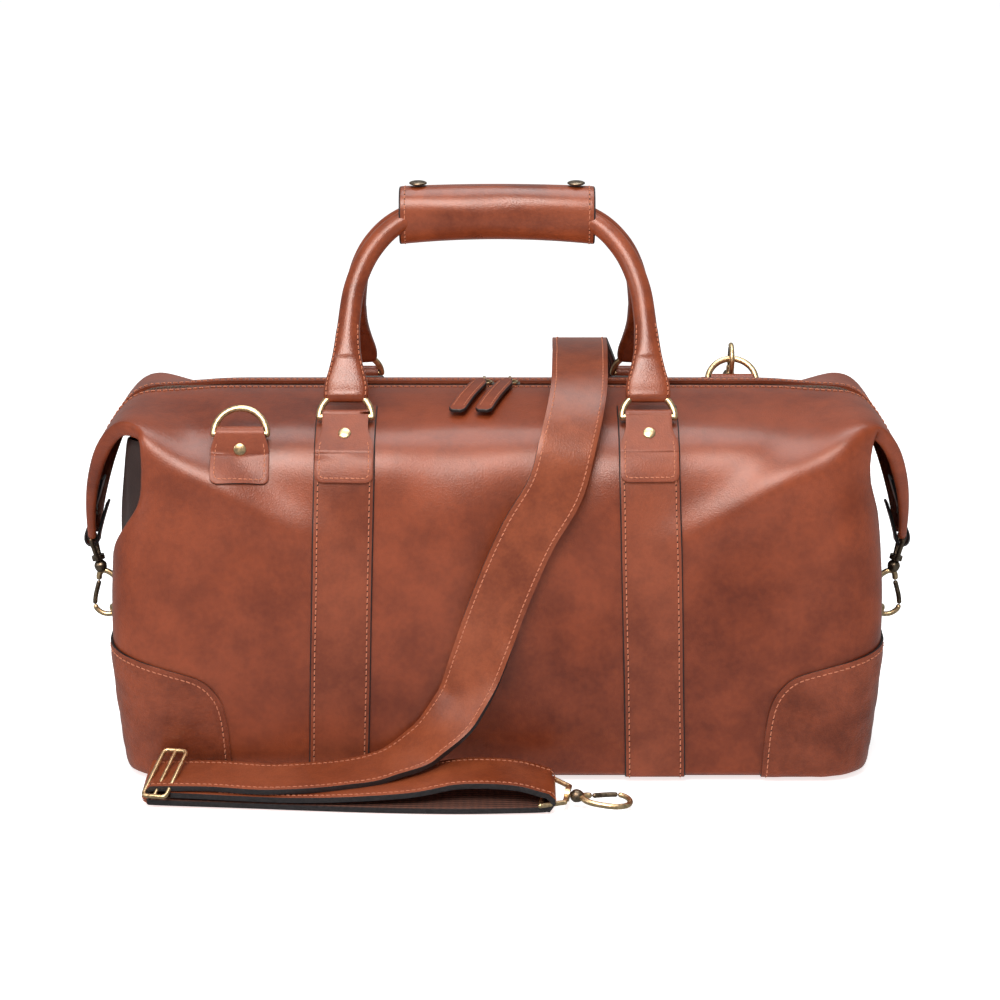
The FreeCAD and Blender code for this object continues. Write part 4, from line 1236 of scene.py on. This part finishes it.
# --- Snap hooks ---------------------------------------------------------------------------------
# Cast swivel snaps: a barrel under the eye, a pear-shaped hook with one bowed side, and a straight
# sprung gate that closes it.
def bar_along(name, points, radius, material, body_name, sides=14, steps=60):
    """A round bar along a smooth line; radius is a number or a function of the share of its length."""
    curve = Curve(points)
    seed = Vector((0.31, 0.95, 0.12))

    def place(u, v):
        distance = v * curve.length
        here = curve.at(distance)
        tangent = (curve.at(distance + 0.0004) - curve.at(distance - 0.0004)).normalized()
        first = (seed - tangent * seed.dot(tangent)).normalized()
        second = tangent.cross(first)
        size = radius(v) if callable(radius) else radius
        for rest in (distance, curve.length - distance):      # domed ends
            if rest < size:
                size *= math.sqrt(max(1 - (1 - rest / size) ** 2, 0.0004))
        angle = u * 2 * math.pi
        return here + (first * math.cos(angle) + second * math.sin(angle)) * size

    piece = sheet(name, sides, steps, place)
    weld(piece)
    piece.data.materials.append(material)
    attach(piece, body_name)
    return piece


ring_lean = math.radians(35)
hooks = [("right_clip", (0.2865, 0, 0.145), (-0.01201, 0, -0.05051), (1, 0, 0)),
         ("left_clip", (-0.2865, 0, 0.145), (0.01201, 0, -0.05051), (-1, 0, 0)),
         ("rear_hook", (0.172, 0.1471, 0.2254), (0, -math.cos(ring_lean), math.sin(ring_lean)), (0, 0, 1)),
         ("floor_hook", (0.032, -0.160, 0.0098), (1, -0.15, -0.10), (0, 1, 0.1))]
HOOK_SHAPE = [(3.6, 31.5), (2.6, 27.5), (0.0, 25.0), (-4.0, 26.6), (-7.8, 31.5), (-9.4, 40), (-8.6, 49),
              (-4.6, 55.2), (1.0, 57.2), (6.8, 55.6), (10.6, 51.5), (11.2, 47.5)]
GATE_SHAPE = [(11.2, 47.6), (9.2, 42), (6.4, 36.5), (3.6, 31.5)]
for name, bar, down, across in hooks:
    bar, down, across = Vector(bar), Vector(down).normalized(), Vector(across)
    across = (across - down * across.dot(down)).normalized()

    def local(u, v):
        return bar + across * u / 1000 + down * v / 1000

    frame_body = name + "_hook" if name.endswith("clip") else name
    arm = bar_along(name + "_arm", [local(u, v) for u, v in HOOK_SHAPE],
                    lambda share: 0.0021 - 0.0003 * share, worn_brass, frame_body)
    barrel = bar_along(name + "_barrel", [local(0, v) for v in (16.8, 19, 21.5, 24, 26.5)],
                       lambda share: 0.0046 - 0.0012 * abs(share - 0.35), dark_brass, frame_body, 20, 24)
    gate = bar_along(name + "_gate_bar", [local(u, v) for u, v in GATE_SHAPE], 0.0017, dark_brass,
                     name + "_gate")
    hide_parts(name + "_hook")
    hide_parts(name + "_gate")


# --- Cast and wire metal ------------------------------------------------------------------------
# The D-rings and the strap's and pulls' wire are antique brass, rubbed pale; the clips' eyes and the
# sliders are darker. The stiffening board inside is covered in lining cloth.
for material, nodes in (
        (worn_brass, ("front_handle_rings", "rear_handle_rings", "front_d_ring", "rear_d_ring",
                      "left_side_ring", "right_side_ring", "rear_hook_eye", "floor_hook_eye",
                      "left_pull_ring", "right_pull_ring")),
        (dark_brass, ("grip_snaps", "left_clip_eye", "right_clip_eye", "left_slider", "right_slider")),
        (lining_cloth, ("base_board",))):
    for node in nodes:
        body[node].data.materials.clear()
        body[node].data.materials.append(material)
